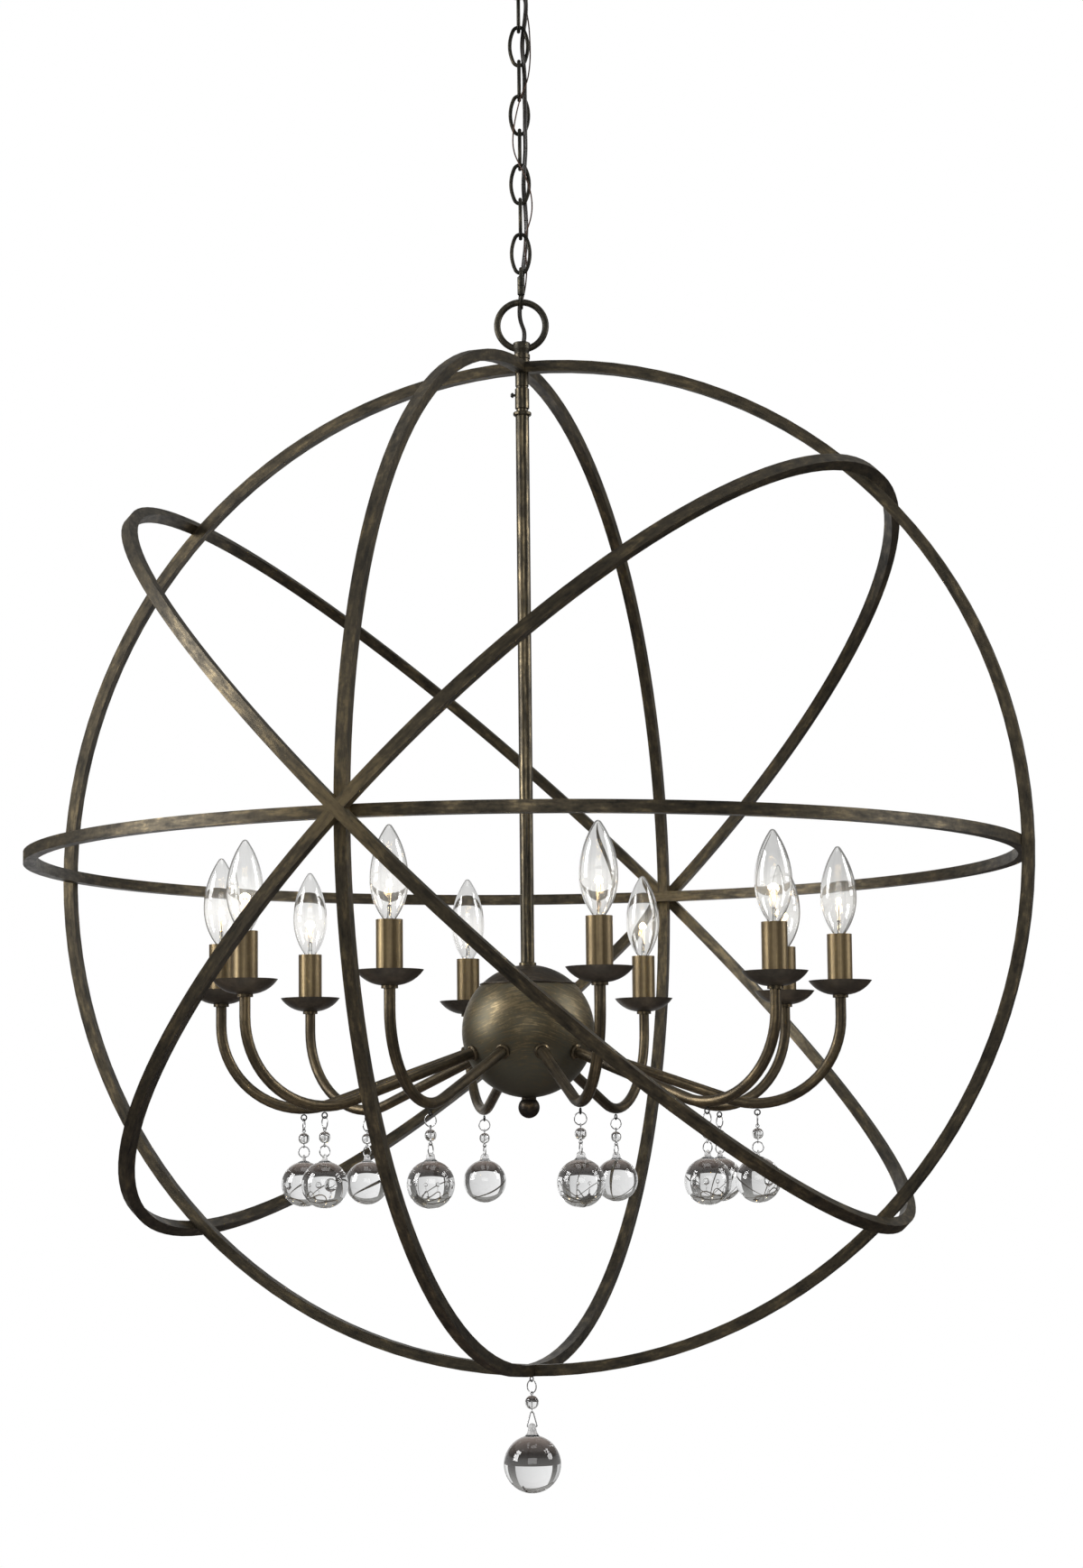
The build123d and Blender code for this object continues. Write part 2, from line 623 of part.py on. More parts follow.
def arm_path(start_distance, end_z):
    """Centreline of an arm in the XZ plane: straight run, bend, riser."""
    r0, z0 = arm_line(start_distance)
    r1 = bend_r - ARM_BEND * sin(arm_slope)
    z1 = bend_z - ARM_BEND * cos(arm_slope)
    middle = radians(45) - arm_slope / 2
    r2 = bend_r + ARM_BEND * sin(middle)
    z2 = bend_z - ARM_BEND * cos(middle)
    return Wire(
        [
            Line((r0, 0, z0), (r1, 0, z1)),
            ThreePointArc((r1, 0, z1), (r2, 0, z2), (ARM_REACH, 0, bend_z)),
            Line((ARM_REACH, 0, bend_z), (ARM_REACH, 0, end_z)),
        ]
    )


def arm():
    """Bent tube with a brazed ferrule where it meets the hub and a shoulder under its cup."""
    path = arm_path(arm_start_length, arm_end_z)
    start = Plane(path @ 0, z_dir=path % 0)
    tube = sweep(start * Circle(ARM_RADIUS), path=path)
    ferrule_start = sqrt(HUB_RADIUS**2 - (ARM_RADIUS + ENTRY) ** 2) + WELD_GAP
    ferrule = lathe(
        (0, 0),
        (FERRULE_RADIUS, 0),
        (FERRULE_RADIUS, FERRULE_LENGTH - 2 * CHAMFER),
        (FERRULE_RADIUS - 2 * CHAMFER, FERRULE_LENGTH),
        (0, FERRULE_LENGTH),
    )
    ferrule = along_arm(ferrule, ferrule_start)
    shoulder = Pos(ARM_REACH, 0, 0) * disc(SHOULDER_RADIUS, cup_bottom - SHOULDER_HEIGHT, cup_bottom)
    bore = sweep(start * Circle(ARM_RADIUS - ARM_WALL), path=path)
    return tube + ferrule + shoulder - bore


def lamp_lead():
    """Lead inside an arm, from the hub to the socket."""
    return swept_wire(arm_path(arm_start_length, arm_end_z), 2 * LEAD_RADIUS)


def drip_cup():
    """Shallow dish under the candle."""

    def dish(inset):
        curve = cup_curve - inset
        low = cup_bottom + inset
        foot = cup_centre_x + sqrt(curve**2 - (cup_centre_z - low) ** 2)
        rim = cup_centre_x + sqrt(curve**2 - (cup_centre_z - cup_rim) ** 2)
        middle_x = (CUP_RADIUS + CUP_FOOT_RADIUS) / 2
        middle = (middle_x, cup_centre_z - sqrt(curve**2 - (middle_x - cup_centre_x) ** 2))
        section = Plane.XZ * make_face(
            [
                Line((0, cup_rim), (0, low)),
                Line((0, low), (foot, low)),
                ThreePointArc((foot, low), middle, (rim, cup_rim)),
                Line((rim, cup_rim), (0, cup_rim)),
            ]
        )
        return revolve(section, Axis.Z)

    return dish(0) - dish(CUP_WALL) - disc(ARM_RADIUS + ENTRY, cup_bottom, cup_rim)


def candle_sleeve():
    """Tube that looks like a candle."""
    inside = disc(SLEEVE_RADIUS - SLEEVE_WALL, sleeve_bottom, sleeve_top)
    return disc(SLEEVE_RADIUS, sleeve_bottom, sleeve_top) - inside


def lamp_socket():
    """Lamp holder on the arm's end, hidden by the sleeve."""
    socket = disc(SOCKET_RADIUS, sleeve_bottom, socket_top)
    socket -= disc(ARM_RADIUS + ENTRY, sleeve_bottom, arm_end_z)
    return socket - disc(LAMP_BASE_RADIUS + ENTRY, lamp_base_bottom, socket_top)


def lamp_base():
    """Screw base with the glass mount that stands inside the lamp."""
    base_top = lamp_neck_z
    tip = lamp_base_bottom
    return lathe(
        (0, tip),
        (LAMP_BASE_RADIUS / 2, tip),
        (LAMP_BASE_RADIUS, tip + LAMP_BASE_RADIUS / 2),
        (LAMP_BASE_RADIUS, base_top),
        (MOUNT_RADIUS, base_top),
        (MOUNT_RADIUS / 2, base_top + MOUNT_LENGTH),
        (0, base_top + MOUNT_LENGTH),
    )


def lamp_body(inset):
    """Turned torpedo shape of the lamp's glass, drawn in by inset."""
    widest_z = sleeve_top + LAMP_WIDEST
    top_z = sleeve_top + LAMP_RISE
    tip_z = top_z - LAMP_TIP_RADIUS
    rise = tip_z - widest_z
    upper_side = LAMP_RADIUS**2 + rise**2 - LAMP_TIP_RADIUS**2
    upper_side /= 2 * (LAMP_RADIUS - LAMP_TIP_RADIUS)
    upper_x = LAMP_RADIUS - upper_side
    lower_x = LAMP_RADIUS - LAMP_LOWER_SIDE
    tip_angle = atan2(rise, -upper_x)
    upper = upper_side - inset
    lower = LAMP_LOWER_SIDE - inset
    neck = LAMP_NECK_RADIUS - inset
    tip = LAMP_TIP_RADIUS - inset
    neck_drop = sqrt(lower**2 - (neck - lower_x) ** 2)
    low_angle = asin(neck_drop / lower) / 2
    join = (tip * cos(tip_angle), tip_z + tip * sin(tip_angle))
    upper_mid = (upper_x + upper * cos(tip_angle / 2), widest_z + upper * sin(tip_angle / 2))
    lower_mid = (lower_x + lower * cos(low_angle), widest_z - lower * sin(low_angle))
    tip_mid_angle = (tip_angle + radians(90)) / 2
    tip_mid = (tip * cos(tip_mid_angle), tip_z + tip * sin(tip_mid_angle))
    widest = (LAMP_RADIUS - inset, widest_z)
    section = Plane.XZ * make_face(
        [
            Line((0, lamp_neck_z), (neck, lamp_neck_z)),
            Line((neck, lamp_neck_z), (neck, widest_z - neck_drop)),
            ThreePointArc((neck, widest_z - neck_drop), lower_mid, widest),
            ThreePointArc(widest, upper_mid, join),
            ThreePointArc(join, tip_mid, (0, tip_z + tip)),
            Line((0, tip_z + tip), (0, lamp_neck_z)),
        ]
    )
    return revolve(section, Axis.Z)


def lamp_glass():
    """Clear lamp envelope, open at its neck."""
    return lamp_body(0) - lamp_body(LAMP_WALL)


def drilled_lug(top_z, ball_z, ball_radius, radius, foot):
    """Round lug with a domed top and a flare that runs into the ball below it."""
    dome_z = top_z - radius
    slant = sqrt(0.5) * radius
    foot_z = ball_z + sqrt((ball_radius - BALL_LUG_SINK) ** 2 - foot**2)
    section = Plane.XZ * make_face(
        [
            Line((0, ball_z), (0, top_z)),
            ThreePointArc((0, top_z), (slant, dome_z + slant), (radius, dome_z)),
            TangentArc((radius, dome_z), (foot, foot_z), tangent=(0, -1)),
            Line((foot, foot_z), (0, ball_z)),
        ]
    )
    return revolve(section, Axis.Z)


def lug_hole(hole_z, length):
    """Hole along X through a lug."""
    return Pos(0, 0, hole_z) * Rot(0, 90, 0) * Cylinder(BALL_HOLE_RADIUS, length)


def small_ball(hole_z):
    """Clear ball with a flat lug, drilled along X."""
    top_z = hole_z + BALL_HOLE_DROP
    ball_z = top_z - BALL_LUG_HEIGHT - BALL_RADIUS
    lug = drilled_lug(top_z, ball_z, BALL_RADIUS, BALL_LUG_RADIUS, BALL_LUG_FOOT)
    lug &= Pos(0, 0, top_z) * Box(BALL_LUG_THICK, 4 * BALL_LUG_FOOT, 2 * BALL_RADIUS)
    return Pos(0, 0, ball_z) * Sphere(BALL_RADIUS) + lug - lug_hole(hole_z, 2 * BALL_LUG_THICK)


def low_ball(hole_z):
    """Larger clear ball with a tall round lug, drilled along X."""
    top_z = hole_z + LOW_HOLE_DROP
    ball_z = top_z - LOW_LUG_HEIGHT - LOW_BALL_RADIUS
    lug = drilled_lug(top_z, ball_z, LOW_BALL_RADIUS, LOW_LUG_RADIUS, LOW_LUG_FOOT)
    return Pos(0, 0, ball_z) * Sphere(LOW_BALL_RADIUS) + lug - lug_hole(hole_z, 4 * LOW_LUG_RADIUS)


def beaded_pin(top_z, bead_radius, upper_turn, lower_turn):
    """Bead on a pin with a loop at each end, and the height of the lower loop's wire."""
    upper_z = top_z - PIN_LOOP_RADIUS
    bead_z = upper_z - PIN_LOOP_RADIUS - PIN_WIRE / 2 - WELD_GAP - bead_radius
    lower_z = bead_z - bead_radius - WELD_GAP - PIN_WIRE / 2 - PIN_LOOP_RADIUS
    loop = wire_ring(PIN_LOOP_RADIUS, PIN_WIRE)
    pin = Pos(0, 0, upper_z) * Rot(0, 0, upper_turn) * loop
    pin += Pos(0, 0, lower_z) * Rot(0, 0, lower_turn) * loop
    pin += disc(PIN_WIRE / 2, lower_z + PIN_LOOP_RADIUS, upper_z - PIN_LOOP_RADIUS)
    drill = disc(PIN_WIRE / 2 + ENTRY, bead_z - bead_radius, bead_z + bead_radius)
    bead = Pos(0, 0, bead_z) * Sphere(bead_radius) - drill
    return pin, bead, lower_z - PIN_LOOP_RADIUS


def hung(upper_wire_z, upper_wire, lower_wire):
    """Height of the wire that rests on another wire."""
    return upper_wire_z + (upper_wire + lower_wire) / 2 + WIRE_GAP


def arm_pendant(eyelet_low):
    """Ring, beaded pin, ring and ball under an arm, hung on the eyelet's lower wire."""
    ring_top = hung(eyelet_low, EYELET_WIRE, RING_WIRE)
    ring_z = ring_top - UPPER_RING_RADIUS
    upper_ring = Pos(0, 0, ring_z) * Rot(0, 0, 90) * wire_ring(UPPER_RING_RADIUS, RING_WIRE)
    pin_top = hung(ring_z - UPPER_RING_RADIUS, RING_WIRE, PIN_WIRE)
    pin, bead, pin_low = beaded_pin(pin_top, BEAD_RADIUS, 0, 90)
    lower_z = hung(pin_low, PIN_WIRE, RING_WIRE) - LOWER_RING_RADIUS
    lower_ring = Pos(0, 0, lower_z) * wire_ring(LOWER_RING_RADIUS, RING_WIRE)
    ring_low = lower_z - LOWER_RING_RADIUS
    rise_in_lug = LOWER_RING_RADIUS - sqrt(LOWER_RING_RADIUS**2 - BALL_LUG_THICK**2 / 4)
    ball = small_ball(hung(ring_low, RING_WIRE, 0) + rise_in_lug - BALL_HOLE_RADIUS)
    return [bead, ball], [upper_ring, pin, lower_ring]


def wire_bail(top_z):
    """Triangle of wire in the XZ plane, its peak at the given height."""
    half = BAIL_WIDTH / 2
    low_z = top_z - BAIL_LENGTH
    bend = BAIL_LENGTH - BAIL_PEAK
    slope = sqrt(1 + (bend**2 - BAIL_PEAK**2) / half**2)
    apex = (bend + BAIL_PEAK * slope) / (1 - (BAIL_PEAK / half) ** 2)
    path = FilletPolyline(
        (half, 0, low_z),
        (0, 0, low_z + apex),
        (-half, 0, low_z),
        radius=[BAIL_CORNER, BAIL_PEAK, BAIL_CORNER],
        close=True,
    )
    return swept_wire(path, RING_WIRE)


def low_pendant(eyelet_low):
    """Ring, beaded pin, wire bail and large ball under the cage, with the bail in the XZ plane."""
    ring_top = hung(eyelet_low, LOW_EYELET_WIRE, RING_WIRE)
    ring_z = ring_top - LOW_RING_RADIUS
    ring = Pos(0, 0, ring_z) * Rot(0, 0, LOW_EYELET_TURN + 90) * wire_ring(LOW_RING_RADIUS, RING_WIRE)
    pin_top = hung(ring_z - LOW_RING_RADIUS, RING_WIRE, PIN_WIRE)
    pin, bead, pin_low = beaded_pin(pin_top, LOW_BEAD_RADIUS, LOW_EYELET_TURN, 90)
    bail_top = hung(pin_low, PIN_WIRE, RING_WIRE)
    bail = wire_bail(bail_top)
    ball = low_ball(hung(bail_top - BAIL_LENGTH, RING_WIRE, 0) - BALL_HOLE_RADIUS)
    return [bead, ball], [ring, pin, bail]


NODES = {}

# Ceiling mount
canopy = canopy_outline(0) - canopy_outline(CANOPY_WALL)
NODES["canopy"] = canopy - disc(NIPPLE_RADIUS + ENTRY, canopy_bottom, 0)
NODES["mounting_bar"] = mounting_bar()
NODES["canopy_fasteners"] = canopy_fasteners()
chain_turn = Rot(0, 0, CHAIN_TURN)
canopy_loop = Rot(180, 0, 0) * loop_casting(CANOPY_RING_RADIUS, CANOPY_RING_WIRE)
canopy_loop = Pos(0, 0, canopy_collar_bottom) * canopy_loop
nipple_hole = disc(NIPPLE_RADIUS + ENTRY, canopy_bottom - NIPPLE_ENGAGE, canopy_bottom)
NODES["canopy_loop"] = chain_turn * (canopy_loop - nipple_hole)

# Chain: odd links stand edge-on to the loops, even ones face the same way as the loops
link = oval_ring(LINK_LENGTH, LINK_WIDTH, LINK_WIRE, LINK_END_RADIUS)
for index, z in enumerate(link_z):
    facing = Rot(0, 0, 90 if index % 2 == 0 else 0)
    NODES[f"chain_link_{index + 1}"] = Pos(0, 0, z) * chain_turn * facing * link
NODES["connector_link"] = Pos(0, 0, connector_z) * chain_turn * Rot(0, 0, 90) * connector_link()

NODES["supply_cord"] = chain_turn * corded(CORD_ROUTE, CORD_DIAMETER)
NODES["ground_wire"] = chain_turn * corded(GROUND_ROUTE, GROUND_DIAMETER)

# Cage and what joins it to the chain and the stem
hanging_loop = loop_casting(HANG_RING_RADIUS, HANG_RING_WIRE)
NODES["hanging_loop"] = Pos(0, 0, collar_top) * chain_turn * hanging_loop
NODES["top_spool"] = top_spool()
NODES.update(cage())
NODES["stem_coupling"] = stem_coupling()
NODES["thumb_screw"] = thumb_screw()

# Fixture
NODES["stem"] = stem()
NODES["hub_cap"] = hub_cap()
NODES["hub_bowl"] = hub_bowl()
NODES["hub_rod"] = disc(ROD_RADIUS, rod_bottom, stem_foot_z + ROD_IN_STEM)
NODES["hub_finial"] = hub_finial()
candle_place = Pos(ARM_REACH, 0, 0)
eyelet = wire_ring(EYELET_RADIUS, EYELET_WIRE)
eyelet_drop = EYELET_RADIUS + EYELET_WIRE / 2 + WELD_GAP
arm_eyelet_z = cage_z - ARM_LOW - ARM_RADIUS - eyelet_drop
repeated = {
    "arms": arm(),
    "lamp_leads": lamp_lead(),
    "drip_cups": candle_place * drip_cup(),
    "candle_sleeves": candle_place * candle_sleeve(),
    "lamp_sockets": candle_place * lamp_socket(),
    "lamp_bases": candle_place * lamp_base(),
    "lamp_glass": candle_place * lamp_glass(),
    "arm_eyelets": Pos(bend_r, 0, arm_eyelet_z) * eyelet,
}
for name, piece in repeated.items():
    NODES[name] = [from_front(azimuth) * piece for azimuth in arm_azimuths]

# Pendants
glass, wires = arm_pendant(arm_eyelet_z - EYELET_RADIUS)
for index, azimuth in enumerate(arm_azimuths):
    place = from_front(azimuth) * Pos(bend_r, 0, 0)
    NODES[f"crystal_{index + 1:02d}"] = [place * piece for piece in glass]
    NODES[f"crystal_wire_{index + 1:02d}"] = [place * piece for piece in wires]
low_eyelet_z = cage_z - HOOP_RADIUS - HOOP_BAR / 2 - LOW_EYELET_RADIUS - LOW_EYELET_WIRE / 2 - WELD_GAP
low_eyelet = Rot(0, 0, LOW_EYELET_TURN) * wire_ring(LOW_EYELET_RADIUS, LOW_EYELET_WIRE)
NODES["bottom_eyelet"] = Pos(0, 0, low_eyelet_z) * chain_turn * low_eyelet
glass, wires = low_pendant(low_eyelet_z - LOW_EYELET_RADIUS)
NODES[f"crystal_{ARM_COUNT + 1:02d}"] = [chain_turn * piece for piece in glass]
NODES[f"crystal_wire_{ARM_COUNT + 1:02d}"] = [chain_turn * piece for piece in wires]

for name, shape in NODES.items():
    pieces = shape if isinstance(shape, list) else [shape]
    solids = [solid for piece in pieces for solid in piece.solids()]
    export_step(Compound(solids) if len(solids) > 1 else solids[0], f"parts/{name}.step")
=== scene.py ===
"""Looks of the orb chandelier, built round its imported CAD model: metres, in the CAD model's frame."""

from math import asin, atan2, cos, pi, radians, sin, sqrt

import bpy
from mathutils import Matrix, Vector


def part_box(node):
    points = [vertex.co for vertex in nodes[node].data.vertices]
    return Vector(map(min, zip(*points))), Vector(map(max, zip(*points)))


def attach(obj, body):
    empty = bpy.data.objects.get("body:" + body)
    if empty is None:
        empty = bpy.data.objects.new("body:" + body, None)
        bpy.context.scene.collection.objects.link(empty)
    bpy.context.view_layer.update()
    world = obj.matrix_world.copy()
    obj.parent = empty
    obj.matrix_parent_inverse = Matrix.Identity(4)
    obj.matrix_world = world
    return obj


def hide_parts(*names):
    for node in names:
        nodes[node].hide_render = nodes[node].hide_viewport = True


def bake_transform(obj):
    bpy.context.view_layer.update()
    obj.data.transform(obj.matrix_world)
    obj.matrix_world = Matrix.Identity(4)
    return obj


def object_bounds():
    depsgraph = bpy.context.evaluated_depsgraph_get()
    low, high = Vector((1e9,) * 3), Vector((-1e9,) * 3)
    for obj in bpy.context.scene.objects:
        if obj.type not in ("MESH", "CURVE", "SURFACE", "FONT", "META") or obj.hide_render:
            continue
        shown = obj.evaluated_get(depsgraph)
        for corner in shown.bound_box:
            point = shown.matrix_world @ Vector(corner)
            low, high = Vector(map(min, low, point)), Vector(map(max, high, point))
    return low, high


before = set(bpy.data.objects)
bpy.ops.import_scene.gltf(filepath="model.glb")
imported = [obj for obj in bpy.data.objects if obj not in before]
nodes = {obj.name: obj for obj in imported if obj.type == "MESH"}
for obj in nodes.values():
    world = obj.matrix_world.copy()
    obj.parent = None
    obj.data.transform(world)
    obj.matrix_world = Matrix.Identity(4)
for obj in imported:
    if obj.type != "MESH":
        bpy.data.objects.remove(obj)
cad_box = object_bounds()
MM = 0.001

# Values repeated from the part's source, or worked out there, in millimetres and degrees
CHAIN_TURN = 18.2
LINK_COUNT = 8
LINK_PITCH = 32.7
FIRST_LINK_MIDDLE = -73.95
CONNECTOR_MIDDLE = -335.35
CORD_DIAMETER = 4.2
GROUND_DIAMETER = 1.3
CAGE_Z = -859.9
HOOP_RADIUS = 450.0
HUB_Z = -1012.6
ARM_COUNT = 10
ARM_TURN = 30.3
ARM_REACH = 277.0
PENDANT_REACH = 202.0
SLEEVE_TOP = -930.9
LAMP_RISE = 78.0
LAMP_RADIUS = 16.0
LAMP_WIDEST = 33.0
LAMP_NECK_RADIUS = 5.6
LAMP_NECK_SINK = 9.0
LAMP_TIP_RADIUS = 3.1
LAMP_LOWER_SIDE = 55.0
BALL_RADIUS = 20.0
BEAD_RADIUS = 5.0
LUG_HEIGHT = 6.2
LUG_RADIUS = 4.0
LUG_FOOT = 6.0
LUG_THICK = 3.0
LUG_HOLE_DROP = 2.7
LUG_HOLE_RADIUS = 1.1
LOW_BALL_RADIUS = 25.0
LOW_BEAD_RADIUS = 6.0
LOW_LUG_HEIGHT = 10.3
LOW_LUG_RADIUS = 3.4
LOW_LUG_FOOT = 6.4
LOW_HOLE_DROP = 3.5

LINK_MIDDLES = [FIRST_LINK_MIDDLE - LINK_PITCH * index for index in range(LINK_COUNT)]
CHAIN_LINKS = [f"chain_link_{index + 1}" for index in range(LINK_COUNT)]

# Cord routes in the chain's own frame, in millimetres: to the right, behind, height.
# From the connector link down they leave the part's routes by up to 6 mm, for the photograph's S-bend.
CORD_ROUTE = [
    (0.0, -1.4, -30.5),
    (1.2, -0.6, -40.5),
    (5.6, 2.9, -50.5),
    (7.2, 6.2, -63.0),
    (6.4, 5.6, -77.0),
    (4.2, 4.6, -91.5),
    (2.9, 0.1, -106.6),
    (4.1, -4.6, -122.0),
    (5.2, -5.2, -138.0),
    (4.9, -4.9, -155.0),
    (5.3, -5.4, -172.0),
    (5.0, -5.0, -189.0),
    (5.4, -5.3, -205.5),
    (4.2, -4.6, -222.0),
    (2.9, -0.1, -237.5),
    (4.1, 4.6, -253.0),
    (5.3, 5.4, -269.5),
    (5.2, 6.4, -285.0),
    (3.9, 8.4, -300.0),
    (1.6, 12.2, -316.0),
    (0.4, 14.6, -333.5),
    (-1.6, 12.2, -350.0),
    (-1.4, 5.6, -364.0),
    (4.2, 0.2, -379.0),
    (0.4, -1.2, -392.0),
]
GROUND_ROUTE = [
    (0.0, 2.7, -30.5),
    (-0.7, 3.3, -40.0),
    (2.8, 7.6, -52.0),
    (7.0, 10.4, -66.0),
    (9.6, 8.6, -82.0),
    (10.4, 5.4, -99.0),
    (10.6, 3.0, -116.0),
    (9.4, -1.8, -131.0),
    (7.2, -8.6, -144.0),
    (1.6, -10.6, -157.0),
    (-2.6, -8.6, -172.0),
    (-5.4, -5.6, -186.0),
    (-6.6, -3.6, -199.0),
    (-4.8, -6.4, -211.0),
    (-0.6, -10.2, -221.5),
    (5.0, -10.6, -233.0),
    (9.6, -7.2, -246.0),
    (11.2, -2.4, -259.0),
    (9.2, 1.8, -271.0),
    (4.7, 2.9, -283.0),
    (3.4, 4.2, -295.0),
    (5.2, 5.8, -306.0),
    (5.4, 9.8, -319.0),
    (3.4, 16.6, -334.0),
    (-1.2, 15.6, -350.0),
    (-0.8, 9.0, -363.0),
    (4.4, 3.6, -378.0),
    (0.9, 2.7, -392.0),
]
SPLINE_STEPS = 10               # points read from a cord's curve for each of its spans
SAME_POINT = 1e-6               # metres within which two points of a cord are one
CORE_SHARE = 0.56               # each core's share of the cord's width
CORE_STEPS = 10                 # points round each core
SEAM_SHARE = 0.96               # how far round the cores' outline goes towards the seam between them
TWIST = 0.5                     # radians that the cord twists to each side
TWIST_RATE = 38                 # radians of that wave for each metre

# Camera, in degrees and metres
CAMERA_AZIMUTH = 18.19
CAMERA_DISTANCE = 2.867
CAMERA_BELOW_CAGE = 0.2678
CAMERA_PAN = 0.28
CAMERA_TILT = 6.69
CAMERA_ROLL = 0.59
CAMERA_LENS = 73.86             # millimetres, on a sensor of the next line's width
CAMERA_SENSOR = 36
CAMERA_CLIP = 100

# Stage and light, in metres and watts
FLOOR_DROP = 0.55
FLOOR_RADIUS = 30
FLOOR_COLOUR = (0.62, 0.62, 0.61, 1)
FLOOR_ROUGHNESS = 0.9
FLOOR_FADE = (1.0, 3.4)         # where the shadows start to fade, and where the floor is all white
FLOOR_WHITE = (0.7, 1.0)        # how white it is to the camera at these two places
BOARD_BEHIND = 0.96             # white board behind the object, from its axis
BOARD_SIDES = (-0.62, 0.48)     # its edges to the left and right of the axis
OTHER_SIDES = (-0.8, 0.8)       # the same for the boards at the front, left and right
BOARD_HEIGHTS = (-1.425, -0.59)  # its lower and upper edges
BOARD_GLOW = (0.92, 0.6)        # its brightness at the left and at the right
STUDIO_DIFFUSE = 0.3
STUDIO_COLOURS = [              # of the studio that metal and glass show, from the floor to the ceiling
    (0.0, (0.36, 0.32, 0.29, 1)),
    (0.1, (0.2, 0.158, 0.136, 1)),
    (0.2, (0.095, 0.076, 0.067, 1)),
    (0.34, (0.03, 0.026, 0.024, 1)),
    (0.5, (0.1, 0.096, 0.092, 1)),
    (0.78, (0.27, 0.27, 0.26, 1)),
]
SOFT_BOXES = {                  # right, up and towards the camera from the cage's middle; size; watts
    "left_light": ((-2.4, 0.85, 0.55), (1.1, 1.8), 90),
    "right_light": ((2.4, 1.0, 0.2), (1.1, 1.8), 56),
    "front_light": ((0.0, 0.6, 3.6), (2.4, 1.6), 34),
    "top_light": ((0.0, 2.6, 0.2), (1.6, 1.6), 16),
    "low_light": ((0.0, -1.2, 0.9), (2.4, 1.4), 5),
}

# Dark, middle and bright colour of each rubbed metal
BRONZE = ("26231d", "443d30", "70634a")
# Hoop edges: lighter than the bars, as rubbed edge wear and painted highlight lines
EDGE = ("504a3e", "8a816a", "bcb090")
STEM = ("221f19", "3e382c", "6c6049")
ARM = ("29241c", "473e2f", "72634a")
SLEEVE = ("4e4230", "685a42", "857454")
# The hub's dark colour is also the colour of the painted shade at its foot
HUB = ("4a483e", "534b39", "7e6f53")
CAP = ("2b2722", "3d362d", "5a5041")
FINIAL = ("1c1916", "352d23", "6b573b")
CUP = ("302c27", "423c34", "5a5144")
CHAIN = ("151410", "2a2821", "524b3b")
LOOP = ("22201b", "39352b", "5b5342")

# Rubbed metals: scales are about strokes for each metre, and the three shares add up to one
NOISE_ROUGHNESS = 0.6
PATCH_SCALE = 26.0
SPECK_SCALE = 300.0
STROKE_SHARE = 0.55
PATCH_SHARE = 0.3
SPECK_SHARE = 0.15
RUBBED_DEPTH = 0.0004           # of the relief, in metres
HOOP_ALONG = 55
HOOP_ACROSS = 260
HOOP_TURNS = {                  # degrees that turn the flat ring of XY into each hoop
    "hoop_front": (90, 0, 0),
    "hoop_side": (0, 90, 0),
    "hoop_equator": (0, 0, 0),
    "hoop_tilted_left": (0, 45, 0),
    "hoop_tilted_right": (0, -45, 0),
}
CROSSING_REACH = 0.05           # metres over which the wear where four hoops cross falls off
CROSSING_WEAR = 0.15            # how far it shifts the colours
BRUSH_ALONG = 80                # the hub's brush strokes
BRUSH_ACROSS = 900
BRUSH_SLOPE = 0.5
BRUSH_RIDGE = 0.0003            # square of half the width over which the strokes turn, in square metres
HUB_SHADE = (-0.055, 0.01)       # heights from the hub's middle between which painted shade darkens the hub towards its foot
HUB_SHADE_SHIFT = (-0.17, 0.0)   # how far the painted shade shifts the colours at these two heights
ARM_ALONG = 22
ARM_ACROSS = 800
ARM_SHIFT = 7.3                 # between the patterns of neighbouring arms

# Plain materials and glass
SPECKLE_STOPS = (0.35, 0.68)
SPECKLE_BUMP = 0.06
SPECKLE_DEPTH = 0.0003
TINT_SCALE = 60.0
TINT_STOPS = (0.35, 0.65)
TINT_STEP = 0.02                # between the two tints of a clear glass
LAMP_IOR = 1.5
CRYSTAL_IOR = 1.52
PRESSED_IOR = 1.3
HAZE = 0.055                    # light in the lamps' glass around the filament
HAZE_REACH = 16.0               # millimetres over which it falls off
HAZE_COLOUR = (1.0, 0.95, 0.86, 1)
FILAMENT_COLOUR = (1.0, 0.78, 0.45, 1)
FILAMENT_STRENGTH = 70.0

# Softened edges, in millimetres and degrees
HOOP_EDGE = 1.1
SHEET_EDGE = 0.3
SHEET_NODES = ["canopy", "drip_cups", "candle_sleeves", "canopy_fasteners", "mounting_bar"]
CAST_EDGE = 0.2
CAST_NODES = ["hub_cap", "stem", "top_spool", "stem_coupling", "thumb_screw", "hanging_loop", "canopy_loop"]
EDGE_SEGMENTS = 3
EDGE_ANGLE = 40

# Inside of the lamps, in millimetres above the sleeve's top, and degrees
LAMP_WALL = 0.8
LAMP_SPIN = 15                  # turn of the first lamp's filament from its arm
LAMP_SPIN_STEP = 40             # and of each lamp from the one before
MOUNT_LOW = -LAMP_NECK_SINK + 0.5
MOUNT_TOP = MOUNT_LOW + 21
FILAMENT_RISE = 28.0
FILAMENT_REACH = 4.2            # half its length
FILAMENT_BOW = 2.6              # how far its middle stands higher
COIL_RADIUS = 1.5
COIL_WIRE = 0.6
COIL_TURNS = 7
COIL_STEPS = 196
LEAD_WIRE = 0.22
HOOK_WIRE = 0.16
HOOK_RISE = 2.9                 # top of the hook that holds the filament's middle, above its ends
BASE_LOW = -26.7
THREAD_RADIUS = 5.85
THREAD_ROOT = 5.3
THREAD_PITCH = 2.0

# Glass pendants, in millimetres and degrees
BEAD_HOLE_RADIUS = 0.5
PRESS_FROM = -0.4               # heights from the ball's top between which the lug becomes flat
PRESS_TO = 1.4
DRILL_LENGTH = 12.0
SHARP_ANGLE = 35

# Radius in millimetres under which a point of a turned outline lies on the axis
ON_AXIS = 1e-6


# Node helpers


